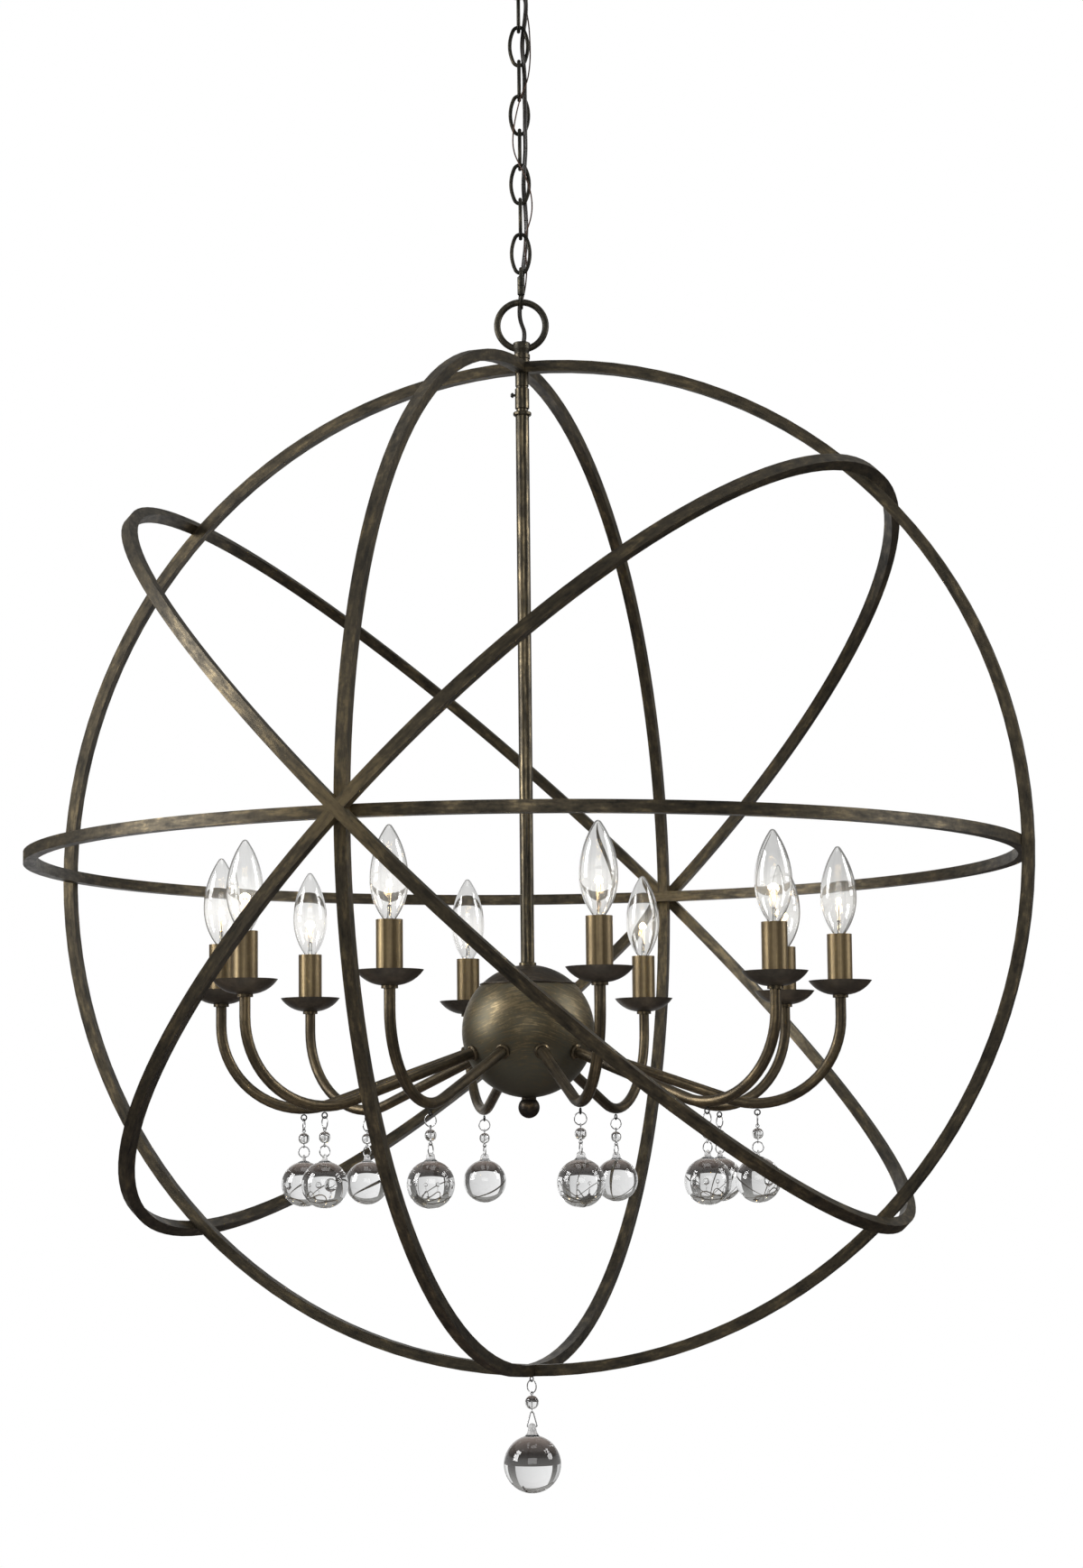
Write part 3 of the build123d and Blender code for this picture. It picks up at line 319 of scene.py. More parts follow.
def find_node(tree, kind):
    """The one node of a kind in a new material's tree."""
    return next(node for node in tree.nodes if node.type == kind)


def new_material(name):
    """A material, its node tree and its Principled shader."""
    material = bpy.data.materials.new(name)
    material.use_nodes = True
    tree = material.node_tree
    return material, tree, find_node(tree, "BSDF_PRINCIPLED")


def show_surface(tree, shader):
    """Makes a shader node the material's surface."""
    tree.links.new(shader.outputs[0], find_node(tree, "OUTPUT_MATERIAL").inputs["Surface"])


def math_node(tree, operation, *values):
    """Result of a Math node on numbers and sockets."""
    node = tree.nodes.new("ShaderNodeMath")
    node.operation = operation
    for socket, value in zip(node.inputs, values):
        if isinstance(value, (int, float)):
            socket.default_value = value
        else:
            tree.links.new(value, socket)
    return node.outputs[0]


def times(tree, first, second):
    return math_node(tree, "MULTIPLY", first, second)


def distance(tree, first, second):
    """Length across two sides at a right angle."""
    squares = (times(tree, first, first), times(tree, second, second))
    return math_node(tree, "SQRT", math_node(tree, "ADD", *squares))


def bell(tree, value):
    """One where the value is zero, and a smooth fall to both sides."""
    return math_node(tree, "EXPONENT", times(tree, times(tree, value, value), -1.0))


def map_range(tree, value, source, result, smooth=False):
    """Takes one range of values to another, and holds its ends."""
    node = tree.nodes.new("ShaderNodeMapRange")
    if smooth:
        node.interpolation_type = "SMOOTHSTEP"
    for index, end in enumerate(("Min", "Max")):
        node.inputs[f"From {end}"].default_value = source[index]
        node.inputs[f"To {end}"].default_value = result[index]
    tree.links.new(value, node.inputs["Value"])
    return node.outputs[0]


def split_vector(tree, vector):
    """Sockets of a vector's X, Y and Z."""
    node = tree.nodes.new("ShaderNodeSeparateXYZ")
    tree.links.new(vector, node.inputs[0])
    return tuple(node.outputs)


def join_vector(tree, *values):
    """Vector of three sockets."""
    node = tree.nodes.new("ShaderNodeCombineXYZ")
    for socket, value in zip(node.inputs, values):
        tree.links.new(value, socket)
    return node.outputs[0]


def object_vector(tree, scale=(1, 1, 1), location=(0, 0, 0), rotation=(0, 0, 0)):
    """Object coordinates about a point, turned back by a rotation, then scaled."""
    coordinates = tree.nodes.new("ShaderNodeTexCoord")
    place = tree.nodes.new("ShaderNodeMapping")
    place.vector_type = "TEXTURE"
    place.inputs["Location"].default_value = location
    place.inputs["Rotation"].default_value = rotation
    tree.links.new(coordinates.outputs["Object"], place.inputs["Vector"])
    stretch = tree.nodes.new("ShaderNodeVectorMath")
    stretch.operation = "MULTIPLY"
    stretch.inputs[1].default_value = scale
    tree.links.new(place.outputs[0], stretch.inputs[0])
    return stretch.outputs[0]


def noise(tree, vector, scale, detail=3.0):
    node = tree.nodes.new("ShaderNodeTexNoise")
    node.inputs["Scale"].default_value = scale
    node.inputs["Detail"].default_value = detail
    node.inputs["Roughness"].default_value = NOISE_ROUGHNESS
    tree.links.new(vector, node.inputs["Vector"])
    return node.outputs["Fac"]


def ramp(tree, value, stops):
    """Colour ramp from (position, colour) stops."""
    node = tree.nodes.new("ShaderNodeValToRGB")
    elements = node.color_ramp.elements
    while len(elements) < len(stops):
        elements.new(0.5)
    for element, (position, colour) in zip(elements, stops):
        element.position = position
        element.color = colour
    tree.links.new(value, node.inputs["Fac"])
    return node.outputs["Color"]


def add_relief(tree, shader, height, strength, depth):
    """Bump on a shader from a socket of heights."""
    relief = tree.nodes.new("ShaderNodeBump")
    relief.inputs["Strength"].default_value = strength
    relief.inputs["Distance"].default_value = depth
    tree.links.new(height, relief.inputs["Height"])
    tree.links.new(relief.outputs[0], shader.inputs["Normal"])


def linear(code):
    """Linear colour from a hexadecimal one."""
    values = [int(code[index : index + 2], 16) / 255 for index in (0, 2, 4)]
    return (*[v / 12.92 if v <= 0.04045 else ((v + 0.055) / 1.055) ** 2.4 for v in values], 1)


# Camera, light and stage


def view_axes():
    """Directions to the right, away and up, level with the floor, as the photograph is taken."""
    azimuth = radians(CAMERA_AZIMUTH)
    right = Vector((cos(azimuth), sin(azimuth), 0))
    away = Vector((-sin(azimuth), cos(azimuth), 0))
    return right, away, Vector((0, 0, 1))


def make_camera():
    """Camera at the photograph's place, with its long side as the sensor's width."""
    pan, tilt, roll = radians(CAMERA_PAN), radians(CAMERA_TILT), radians(CAMERA_ROLL)
    right, away, up = view_axes()
    place = away * -CAMERA_DISTANCE
    place.z = CAGE_Z * MM - CAMERA_BELOW_CAGE
    right, away = right * cos(pan) - away * sin(pan), right * sin(pan) + away * cos(pan)
    forward, up = away * cos(tilt) + up * sin(tilt), up * cos(tilt) - away * sin(tilt)
    across = right * cos(roll) - up * sin(roll)
    upward = right * sin(roll) + up * cos(roll)
    data = bpy.data.cameras.new("camera")
    data.lens = CAMERA_LENS
    data.sensor_width = CAMERA_SENSOR
    data.clip_end = CAMERA_CLIP
    camera = bpy.data.objects.new("camera", data)
    bpy.context.scene.collection.objects.link(camera)
    facing = Matrix((across, upward, -forward)).transposed().to_4x4()
    camera.matrix_world = Matrix.Translation(place) @ facing
    bpy.context.scene.camera = camera


def make_world():
    """White to the camera, and a dim studio to metal and glass."""
    world = bpy.data.worlds.new("studio")
    bpy.context.scene.world = world
    world.use_nodes = True
    tree = world.node_tree
    tree.nodes.clear()
    output = tree.nodes.new("ShaderNodeOutputWorld")
    path = tree.nodes.new("ShaderNodeLightPath")

    def background(strength):
        node = tree.nodes.new("ShaderNodeBackground")
        node.inputs["Color"].default_value = (1, 1, 1, 1)
        node.inputs["Strength"].default_value = strength
        return node

    def mixed(factor, first, second):
        node = tree.nodes.new("ShaderNodeMixShader")
        tree.links.new(factor, node.inputs["Fac"])
        tree.links.new(first.outputs[0], node.inputs[1])
        tree.links.new(second.outputs[0], node.inputs[2])
        return node

    coordinates = tree.nodes.new("ShaderNodeTexCoord")
    height = split_vector(tree, coordinates.outputs["Generated"])[2]
    share = map_range(tree, height, (-1.0, 1.0), (0.0, 1.0))
    studio = background(1.0)
    tree.links.new(ramp(tree, share, STUDIO_COLOURS), studio.inputs["Color"])
    bent = math_node(tree, "MAXIMUM", path.outputs["Is Glossy Ray"], path.outputs["Is Transmission Ray"])
    around = mixed(bent, background(STUDIO_DIFFUSE), studio)
    seen = mixed(path.outputs["Is Camera Ray"], around, background(1.0))
    tree.links.new(seen.outputs[0], output.inputs["Surface"])


def board_material():
    """White light that is brighter to the left."""
    material, tree, _ = new_material("white_board")
    glow = tree.nodes.new("ShaderNodeEmission")
    sideways = split_vector(tree, object_vector(tree))[0]
    share = map_range(tree, sideways, BOARD_SIDES, (0.0, 1.0))
    ends = [(position, (level, level, level, 1)) for position, level in enumerate(BOARD_GLOW)]
    tree.links.new(ramp(tree, share, ends), glow.inputs["Color"])
    show_surface(tree, glow)
    return material


def make_boards():
    """White boards around the object for glass to show; metal shows the one behind."""
    material = board_material()
    facing = Matrix(view_axes()).transposed().to_4x4()
    for quarter, name in enumerate(("board_behind", "board_left", "board_front", "board_right")):
        sides = OTHER_SIDES if quarter else BOARD_SIDES
        corners = []
        for side, height in ((0, 0), (1, 0), (1, 1), (0, 1)):
            corners.append((sides[side], BOARD_BEHIND, BOARD_HEIGHTS[height]))
        board = mesh_object(name, corners, [(0, 1, 2, 3)], material, smooth=False)
        board.matrix_world = Matrix.Rotation(radians(90 * quarter), 4, "Z") @ facing
        board.visible_camera = False
        board.visible_diffuse = False
        board.visible_shadow = False
        board.visible_glossy = quarter == 0


def floor_material():
    """Pale, and whiter to the camera the further it is from the object."""
    material, tree, shader = new_material("pale_floor")
    shader.inputs["Base Color"].default_value = FLOOR_COLOUR
    shader.inputs["Roughness"].default_value = FLOOR_ROUGHNESS
    x, y, _ = split_vector(tree, object_vector(tree))
    white = map_range(tree, distance(tree, x, y), FLOOR_FADE, FLOOR_WHITE, smooth=True)
    path = tree.nodes.new("ShaderNodeLightPath")
    glow = tree.nodes.new("ShaderNodeEmission")
    glow.inputs["Color"].default_value = (1, 1, 1, 1)
    mix = tree.nodes.new("ShaderNodeMixShader")
    tree.links.new(times(tree, path.outputs["Is Camera Ray"], white), mix.inputs["Fac"])
    tree.links.new(shader.outputs[0], mix.inputs[1])
    tree.links.new(glow.outputs[0], mix.inputs[2])
    show_surface(tree, mix)
    return material


def make_floor():
    """Floor that shows the object's shadow near it and fades to white further away."""
    place = (0, 0, cad_box[0].z - FLOOR_DROP)
    bpy.ops.mesh.primitive_circle_add(
        vertices=96, radius=FLOOR_RADIUS, fill_type="NGON", location=place
    )
    floor = bpy.context.object
    floor.name = "floor"
    floor.visible_glossy = False
    floor.visible_transmission = False
    floor.data.materials.append(floor_material())


def make_lights():
    """Two large soft boxes at the sides, and weak ones in front, above and below."""
    right, away, up = view_axes()
    centre = Vector((0, 0, CAGE_Z * MM))
    for name, ((sideways, height, towards), size, watts) in SOFT_BOXES.items():
        data = bpy.data.lights.new(name, "AREA")
        data.shape = "RECTANGLE"
        data.size, data.size_y = size
        data.energy = watts
        light = bpy.data.objects.new(name, data)
        bpy.context.scene.collection.objects.link(light)
        light.location = centre + right * sideways + up * height - away * towards
        light.rotation_euler = (centre - light.location).to_track_quat("-Z", "Y").to_euler()


# Coordinates that strokes on metal follow


def along_hoop(turn):
    """Coordinates that run along a hoop's bar: arc length, then the two ways across it."""

    def vector_of(tree):
        rotation = [radians(angle) for angle in turn]
        flat = object_vector(tree, location=(0, 0, CAGE_Z * MM), rotation=rotation)
        x, y, z = split_vector(tree, flat)
        run = times(tree, math_node(tree, "ARCTAN2", y, x), HOOP_ALONG * HOOP_RADIUS * MM)
        radius = times(tree, distance(tree, x, y), HOOP_ACROSS)
        return join_vector(tree, run, radius, times(tree, z, HOOP_ACROSS))

    return vector_of


def along_z(across, along):
    """Coordinates for strokes along Z, or for even grain where both scales are the same."""
    return lambda tree: object_vector(tree, (across, across, along))


def along_arms(tree):
    """Coordinates that run along the arms: sideways from the nearest arm, outward and up."""
    flat = object_vector(tree, rotation=(0, 0, radians(ARM_TURN - 90)))
    x, y, z = split_vector(tree, flat)
    reach = distance(tree, x, y)
    turns = times(tree, math_node(tree, "ARCTAN2", y, x), ARM_COUNT / (2 * pi))
    nearest = math_node(tree, "ROUND", turns)
    aside = times(tree, math_node(tree, "SUBTRACT", turns, nearest), 2 * pi / ARM_COUNT)
    sideways = times(tree, times(tree, aside, reach), ARM_ACROSS)
    outward = math_node(tree, "ADD", times(tree, reach, ARM_ALONG), times(tree, nearest, ARM_SHIFT))
    return join_vector(tree, sideways, outward, times(tree, z, ARM_ALONG))


def along_brush(tree):
    """Coordinates for slanted brush strokes that fall away to both sides of the hub."""
    rotation = (0, 0, radians(CHAIN_TURN))
    flat = object_vector(tree, location=(0, 0, HUB_Z * MM), rotation=rotation)
    x, y, z = split_vector(tree, flat)
    sideways = math_node(tree, "SQRT", math_node(tree, "ADD", times(tree, x, x), BRUSH_RIDGE))
    slant = math_node(tree, "ADD", z, times(tree, sideways, BRUSH_SLOPE))
    scaled = [times(tree, value, BRUSH_ALONG) for value in (x, y)]
    return join_vector(tree, *scaled, times(tree, slant, BRUSH_ACROSS))


def crossing_wear(tree):
    """Rises near the two points of the cage where four hoops cross."""
    x, _, z = split_vector(tree, object_vector(tree, location=(0, 0, CAGE_Z * MM)))
    share = math_node(tree, "DIVIDE", distance(tree, x, z), CROSSING_REACH)
    return times(tree, bell(tree, share), CROSSING_WEAR)


def painted_hub_shade(tree):
    """Painted shade: falls from the hub's middle to its foot, so that the hub turns darker and its brush
    strokes fade out downwards.
    """
    height = split_vector(tree, object_vector(tree, location=(0, 0, HUB_Z * MM)))[2]
    return map_range(tree, height, HUB_SHADE, HUB_SHADE_SHIFT, smooth=True)


# Materials


def rubbed_metal(
    name, colours, vector_of, stops, roughness=(0.36, 0.54), metallic=0.8, bump=0.02, wear_and_shade=None
):
    """Dark metal whose three colours are spread between two stops by strokes, patches and specks."""
    material, tree, shader = new_material(name)
    strokes = noise(tree, vector_of(tree), 1.0)
    patches = noise(tree, object_vector(tree), PATCH_SCALE)
    specks = noise(tree, object_vector(tree), SPECK_SCALE, detail=2.0)
    spread = math_node(tree, "MULTIPLY_ADD", strokes, STROKE_SHARE, times(tree, patches, PATCH_SHARE))
    spread = math_node(tree, "ADD", spread, times(tree, specks, SPECK_SHARE))
    # Extra shift of the colours: rubbed wear where the hoops cross, painted shade at the hub's foot
    if wear_and_shade:
        spread = math_node(tree, "ADD", spread, wear_and_shade(tree))
    low, high = stops
    positions = (low, (low + high) / 2, high)
    shades = [(position, linear(code)) for position, code in zip(positions, colours)]
    tree.links.new(ramp(tree, spread, shades), shader.inputs["Base Color"])
    shader.inputs["Metallic"].default_value = metallic
    tree.links.new(map_range(tree, spread, stops, roughness[::-1]), shader.inputs["Roughness"])
    add_relief(tree, shader, spread, bump, RUBBED_DEPTH)
    return material


def speckled(name, colours, grain, roughness, metallic):
    """Two close colours spread by fine noise, for plain metal, plastic and cord."""
    material, tree, shader = new_material(name)
    spread = noise(tree, object_vector(tree), grain)
    shades = [(position, linear(code)) for position, code in zip(SPECKLE_STOPS, colours)]
    tree.links.new(ramp(tree, spread, shades), shader.inputs["Base Color"])
    shader.inputs["Metallic"].default_value = metallic
    shader.inputs["Roughness"].default_value = roughness
    add_relief(tree, shader, spread, SPECKLE_BUMP, SPECKLE_DEPTH)
    return material


def clear_glass(name, colour, ior, roughness=0.0, clarity=1.0):
    """Clear glass with a faint unevenness in its tint."""
    material, tree, shader = new_material(name)
    shader.inputs["Transmission Weight"].default_value = clarity
    shader.inputs["IOR"].default_value = ior
    shader.inputs["Roughness"].default_value = roughness
    tint = noise(tree, object_vector(tree), TINT_SCALE, detail=1.0)
    clearer = (*[min(value + TINT_STEP, 1) for value in colour[:3]], 1)
    shades = list(zip(TINT_STOPS, (colour, clearer)))
    tree.links.new(ramp(tree, tint, shades), shader.inputs["Base Color"])
    return material


def lit_glass(name, colour, ior):
    """Clear lamp glass with a soft haze of light around the height of the filament."""
    material = clear_glass(name, colour, ior)
    tree = material.node_tree
    shader = find_node(tree, "BSDF_PRINCIPLED")
    middle = (0, 0, (SLEEVE_TOP + FILAMENT_RISE) * MM)
    height = split_vector(tree, object_vector(tree, location=middle))[2]
    share = math_node(tree, "DIVIDE", height, HAZE_REACH * MM)
    tree.links.new(times(tree, bell(tree, share), HAZE), shader.inputs["Emission Strength"])
    shader.inputs["Emission Color"].default_value = HAZE_COLOUR
    return material


def glowing(name, colour, strength):
    material, _, shader = new_material(name)
    shader.inputs["Base Color"].default_value = colour
    shader.inputs["Emission Color"].default_value = colour
    shader.inputs["Emission Strength"].default_value = strength
    return material


# Finish of the CAD nodes that stay in view


def paint(names, material, edge=None):
    """Gives CAD nodes a material, and a second one for their softened edges."""
    for name in names:
        mesh = nodes[name].data
        mesh.materials.clear()
        mesh.materials.append(material)
        if edge:
            mesh.materials.append(edge)


def soften(names, width):
    """Rounds the sharp edges of CAD nodes, with a node's second material on them if it has one."""
    for name in names:
        bevel = nodes[name].modifiers.new("soft_edges", "BEVEL")
        bevel.width = width * MM
        bevel.segments = EDGE_SEGMENTS
        bevel.limit_method = "ANGLE"
        bevel.angle_limit = radians(EDGE_ANGLE)
        bevel.material = len(nodes[name].data.materials) - 1
        bevel.harden_normals = True


def paint_hoops():
    """Bars rubbed along their run, worn where they cross, and lighter on their bevelled edges as rubbed
    edge wear and painted highlight lines.
    """
    worn = {"wear_and_shade": crossing_wear, "bump": 0.006, "roughness": (0.38, 0.52)}
    for name, turn in HOOP_TURNS.items():
        metal = rubbed_metal(f"{name}_metal", BRONZE, along_hoop(turn), (0.38, 0.7), **worn)
        # Edge material: painted highlight lines and edge wear on the bevels
        edge = rubbed_metal(f"{name}_edge", EDGE, along_hoop(turn), (0.4, 0.62), **worn)
        paint([name], metal, edge)
    soften(HOOP_TURNS, HOOP_EDGE)


def paint_fixture():
    """Stem, arms, sleeves, hub and cups."""
    stem = rubbed_metal("stem_metal", STEM, along_z(420, 30), (0.4, 0.62), roughness=(0.3, 0.44))
    paint(["stem", "stem_coupling", "top_spool"], stem)
    paint(["arms"], rubbed_metal("arm_metal", ARM, along_arms, (0.38, 0.66)))
    sleeve = rubbed_metal("sleeve_metal", SLEEVE, along_z(760, 8), (0.3, 0.7), roughness=(0.34, 0.44))
    paint(["candle_sleeves"], sleeve)
    # The hub's foot is darkened by painted shade
    paint(["hub_bowl"], rubbed_metal("hub_metal", HUB, along_brush, (0.37, 0.64), wear_and_shade=painted_hub_shade))
    paint(["hub_cap"], rubbed_metal("cap_metal", CAP, along_brush, (0.36, 0.7)))
    paint(["hub_finial"], rubbed_metal("finial_metal", FINIAL, along_z(110, 110), (0.4, 0.64)))
    cup = rubbed_metal("cup_metal", CUP, along_z(60, 60), (0.35, 0.7), metallic=0.6)
    paint(["drip_cups", "canopy"], cup)


def paint_chain():
    """Links, and the loops at both ends of the chain."""
    chain = rubbed_metal("chain_metal", CHAIN, along_z(110, 70), (0.4, 0.7), roughness=(0.38, 0.5))
    paint([*CHAIN_LINKS, "connector_link", "canopy_loop"], chain)
    paint(["hanging_loop"], rubbed_metal("loop_metal", LOOP, along_z(110, 70), (0.4, 0.7)))


def paint_small_parts():
    """Screws, eyelets, wire, sockets and leads."""
    black = speckled("black_steel", ("0b0b0b", "1c1b1a"), grain=900, roughness=0.35, metallic=0.6)
    paint(["thumb_screw", "arm_eyelets", "bottom_eyelet"], black)
    plated = speckled("plated_steel", ("8b8b88", "b3b2ad"), grain=500, roughness=0.35, metallic=1.0)
    paint(["mounting_bar", "canopy_fasteners", "hub_rod"], plated)
    silver = speckled("silver_wire", ("8a8a8a", "bdbdbd"), grain=700, roughness=0.22, metallic=1.0)
    paint([f"crystal_wire_{index + 1:02d}" for index in range(ARM_COUNT + 1)], silver)
    moulded = speckled("moulded_black", ("0f0f0f", "1b1b1a"), grain=600, roughness=0.55, metallic=0.0)
    paint(["lamp_sockets"], moulded)
    plastic = speckled("lead_plastic", ("d8d5cc", "e6e3da"), grain=600, roughness=0.5, metallic=0.0)
    paint(["lamp_leads"], plastic)


def paint_nodes():
    """A procedural material for every CAD node that stays in view."""
    paint_hoops()
    paint_fixture()
    paint_chain()
    paint_small_parts()
    soften(SHEET_NODES, SHEET_EDGE)
    soften(CAST_NODES, CAST_EDGE)


# Mesh helpers


def mesh_object(name, vertices, faces, material, smooth=True):
    mesh = bpy.data.meshes.new(name)
    mesh.from_pydata([tuple(v) for v in vertices], [], faces)
    mesh.update()
    if smooth:
        mesh.shade_smooth()
    mesh.materials.append(material)
    made = bpy.data.objects.new(name, mesh)
    bpy.context.scene.collection.objects.link(made)
    return made


def merge(target, added):
    """Adds vertices and faces to a running pair of lists."""
    offset = len(target[0])
    target[0].extend(added[0])
    target[1].extend([[index + offset for index in face] for face in added[1]])


def arc(centre, radius, start, end, count):
    """Points on an arc, from one angle to another."""
    angles = [start + (end - start) * step / count for step in range(count + 1)]
    return [(centre[0] + radius * cos(angle), centre[1] + radius * sin(angle)) for angle in angles]


def circle(radius, count):
    return arc((0, 0), radius, 0, 2 * pi, count)[:-1]


def turned(profile, segments):
    """Vertices and faces of a profile of (radius, height) turned about Z, closed at ends on the axis."""
    vertices, rows = [], []
    for radius, z in profile:
        if radius < ON_AXIS:
            rows.append([len(vertices)] * segments)
            vertices.append((0, 0, z))
        else:
            rows.append(list(range(len(vertices), len(vertices) + segments)))
            vertices += [(x, y, z) for x, y in circle(radius, segments)]
    faces = []
    for first, second in zip(rows, rows[1:]):
        for step in range(segments):
            after = (step + 1) % segments
            corners = [first[step], first[after], second[after], second[step]]
            face = [c for index, c in enumerate(corners) if c not in corners[:index]]
            if len(face) > 2:
                faces.append(face)
    return vertices, faces


def swept(points, section, turn_of):
    """Closed tube: a section of (across, up) points carried along a line, turned at each by turn_of."""
    tangents = []
    for index in range(len(points)):
        before = points[max(index - 1, 0)]
        after = points[min(index + 1, len(points) - 1)]
        tangents.append((after - before).normalized())
    normal = tangents[0].orthogonal().normalized()
    vertices, faces = [], []
    for point, tangent in zip(points, tangents):
        normal = (normal - tangent * normal.dot(tangent)).normalized()
        side = tangent.cross(normal)
        angle = turn_of(point, normal, side)
        across = normal * cos(angle) + side * sin(angle)
        upward = side * cos(angle) - normal * sin(angle)
        vertices += [point + across * a + upward * b for a, b in section]
    size = len(section)
    last = (len(points) - 1) * size
    for low in range(0, last, size):
        high = low + size
        for step in range(size):
            after = (step + 1) % size
            faces.append((low + step, low + after, high + after, high + step))
    faces.append(tuple(reversed(range(size))))
    faces.append(tuple(range(last, last + size)))
    return vertices, faces


def no_turn(point, normal, side):
    return 0.0


def wire(points, radius):
    """Thin round wire along a line of points."""
    return swept([Vector(point) for point in points], circle(radius, count=8), no_turn)


# Cords


def spline_points(name, route):
    """Points read from the route's smooth curve, in the CAD frame."""
    data = bpy.data.curves.new(name, "CURVE")
    data.dimensions = "3D"
    data.resolution_u = SPLINE_STEPS
    spline = data.splines.new("NURBS")
    spline.points.add(len(route) - 1)
    turn = Matrix.Rotation(radians(CHAIN_TURN), 4, "Z")
    for target, point in zip(spline.points, route):
        target.co = (*(turn @ Vector(point) * MM), 1)
    spline.order_u = 3
    spline.use_endpoint_u = True
    holder = bpy.data.objects.new(name, data)
    bpy.context.scene.collection.objects.link(holder)
    mesh = bpy.data.meshes.new_from_object(holder)
    points = [v.co.copy() for v in mesh.vertices]
    bpy.data.objects.remove(holder)
    bpy.data.meshes.remove(mesh)
    return points


def cut_at(points, heights):
    """Splits a falling line at each height, and returns the stretches."""
    stretches, current = [], [points[0]]
    remaining = list(heights)
    for before, after in zip(points, points[1:]):
        while remaining and before.z > remaining[0] >= after.z:
            share = (before.z - remaining[0]) / (before.z - after.z)
            cut = before.lerp(after, share)
            if (cut - current[-1]).length > SAME_POINT:
                current.append(cut)
            stretches.append(current)
            current = [cut]
            remaining.pop(0)
        if (after - current[-1]).length > SAME_POINT:
            current.append(after)
    stretches.append(current)
    return stretches


def make_cord(node, route, diameter, section, turn_of, material, slot, stiffness):
    """A cord down the chain, cut into stretches at the middles of its links."""
    cuts = [z * MM for z in (*LINK_MIDDLES, CONNECTOR_MIDDLE)]
    stretches = cut_at(spline_points(node, route), cuts)
    for index, points in enumerate(stretches):
        vertices, faces = swept(points, section, turn_of)
        piece = mesh_object(f"{node}_{index + 1}", vertices, faces, material)
        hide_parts(node)
        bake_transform(piece)


def two_core_section():
    """Outline of two cores side by side, as wide as the cord."""
    core = CORE_SHARE * CORD_DIAMETER / 2
    offset = CORD_DIAMETER / 2 - core
    opening = asin(offset / core)
    sweep = pi + 2 * (pi / 2 - opening) * SEAM_SHARE
    half = arc((offset, 0), core, -sweep / 2, sweep / 2, CORE_STEPS)
    return [(side * a * MM, side * b * MM) for side in (1, -1) for a, b in half]


def face_the_room(point, normal, side):
    """Turn that lays the two cores across the view, with a slow twist."""
    wanted = Vector((cos(radians(CHAIN_TURN)), sin(radians(CHAIN_TURN)), 0))
    base = atan2(wanted.dot(side), wanted.dot(normal))
    return base + TWIST * sin(point.z * TWIST_RATE)


def make_cords():
    """Two-core supply cord, and the bare ground wire beside it."""
    cover = speckled("cord_cover", ("16130f", "241f19"), grain=500, roughness=0.42, metallic=0.0)
    copper = speckled("bare_copper", ("2b1e17", "4b3529"), grain=700, roughness=0.45, metallic=0.7)
    supply = (CORD_ROUTE, CORD_DIAMETER, two_core_section(), face_the_room)
    make_cord("supply_cord", *supply, cover, "cord", "medium")
    bare = [(a * MM, b * MM) for a, b in circle(GROUND_DIAMETER / 2, count=10)]
    ground = (GROUND_ROUTE, GROUND_DIAMETER, bare, no_turn)
    make_cord("ground_wire", *ground, copper, "copper", "stiff")


# Lamps, with shapes in millimetres above the sleeve's top


def lamp_line(inset):
    """Outline of the lamp's glass from its neck to its tip."""
    tip_z = LAMP_RISE - LAMP_TIP_RADIUS
    rise = tip_z - LAMP_WIDEST
    upper_side = LAMP_RADIUS**2 + rise**2 - LAMP_TIP_RADIUS**2
    upper_side /= 2 * (LAMP_RADIUS - LAMP_TIP_RADIUS)
    upper_x = LAMP_RADIUS - upper_side
    lower_x = LAMP_RADIUS - LAMP_LOWER_SIDE
    tip_angle = atan2(rise, -upper_x)
    lower = LAMP_LOWER_SIDE - inset
    neck = LAMP_NECK_RADIUS - inset
    low_angle = -asin(sqrt(lower**2 - (neck - lower_x) ** 2) / lower)
    line = [(neck, -LAMP_NECK_SINK)]
    line += arc((lower_x, LAMP_WIDEST), lower, low_angle, 0, count=30)
    line += arc((upper_x, LAMP_WIDEST), upper_side - inset, 0, tip_angle, count=30)[1:]
    line += arc((0, tip_z), LAMP_TIP_RADIUS - inset, tip_angle, pi / 2, count=10)[1:]
    return line


def lamp_shell():
    """Thin glass, closed at the neck."""
    outer, inner = lamp_line(0), lamp_line(LAMP_WALL)
    return turned([*outer, *reversed(inner), outer[0]], segments=120)


def lamp_mount():
    """Glass stalk that holds the wires."""
    line = [(0, 0), (3.4, 0), (3.0, 2), (2.2, 7), (1.7, 15)]
    tip = [(1.9, -2.5), (1.5, -0.6), (0, 0)]
    profile = [(r, MOUNT_LOW + z) for r, z in line] + [(r, MOUNT_TOP + z) for r, z in tip]
    return turned(profile, segments=24)


def lamp_wires():
    """Two wires to the filament's ends, and the hook that holds its middle."""
    wires = ([], [])
    bend = (MOUNT_TOP + FILAMENT_RISE) / 2
    run = [(0.7, MOUNT_LOW + 12), (0.9, MOUNT_TOP - 0.5), (2.6, bend), (FILAMENT_REACH, FILAMENT_RISE)]
    for side in (-1, 1):
        merge(wires, wire([(side * x, 0, z) for x, z in run], LEAD_WIRE))
    hook = [(0, 0, MOUNT_TOP - 2), (0, 0.2, MOUNT_TOP + 10), (0, 0, FILAMENT_RISE + HOOK_RISE)]
    merge(wires, wire(hook, HOOK_WIRE))
    return wires


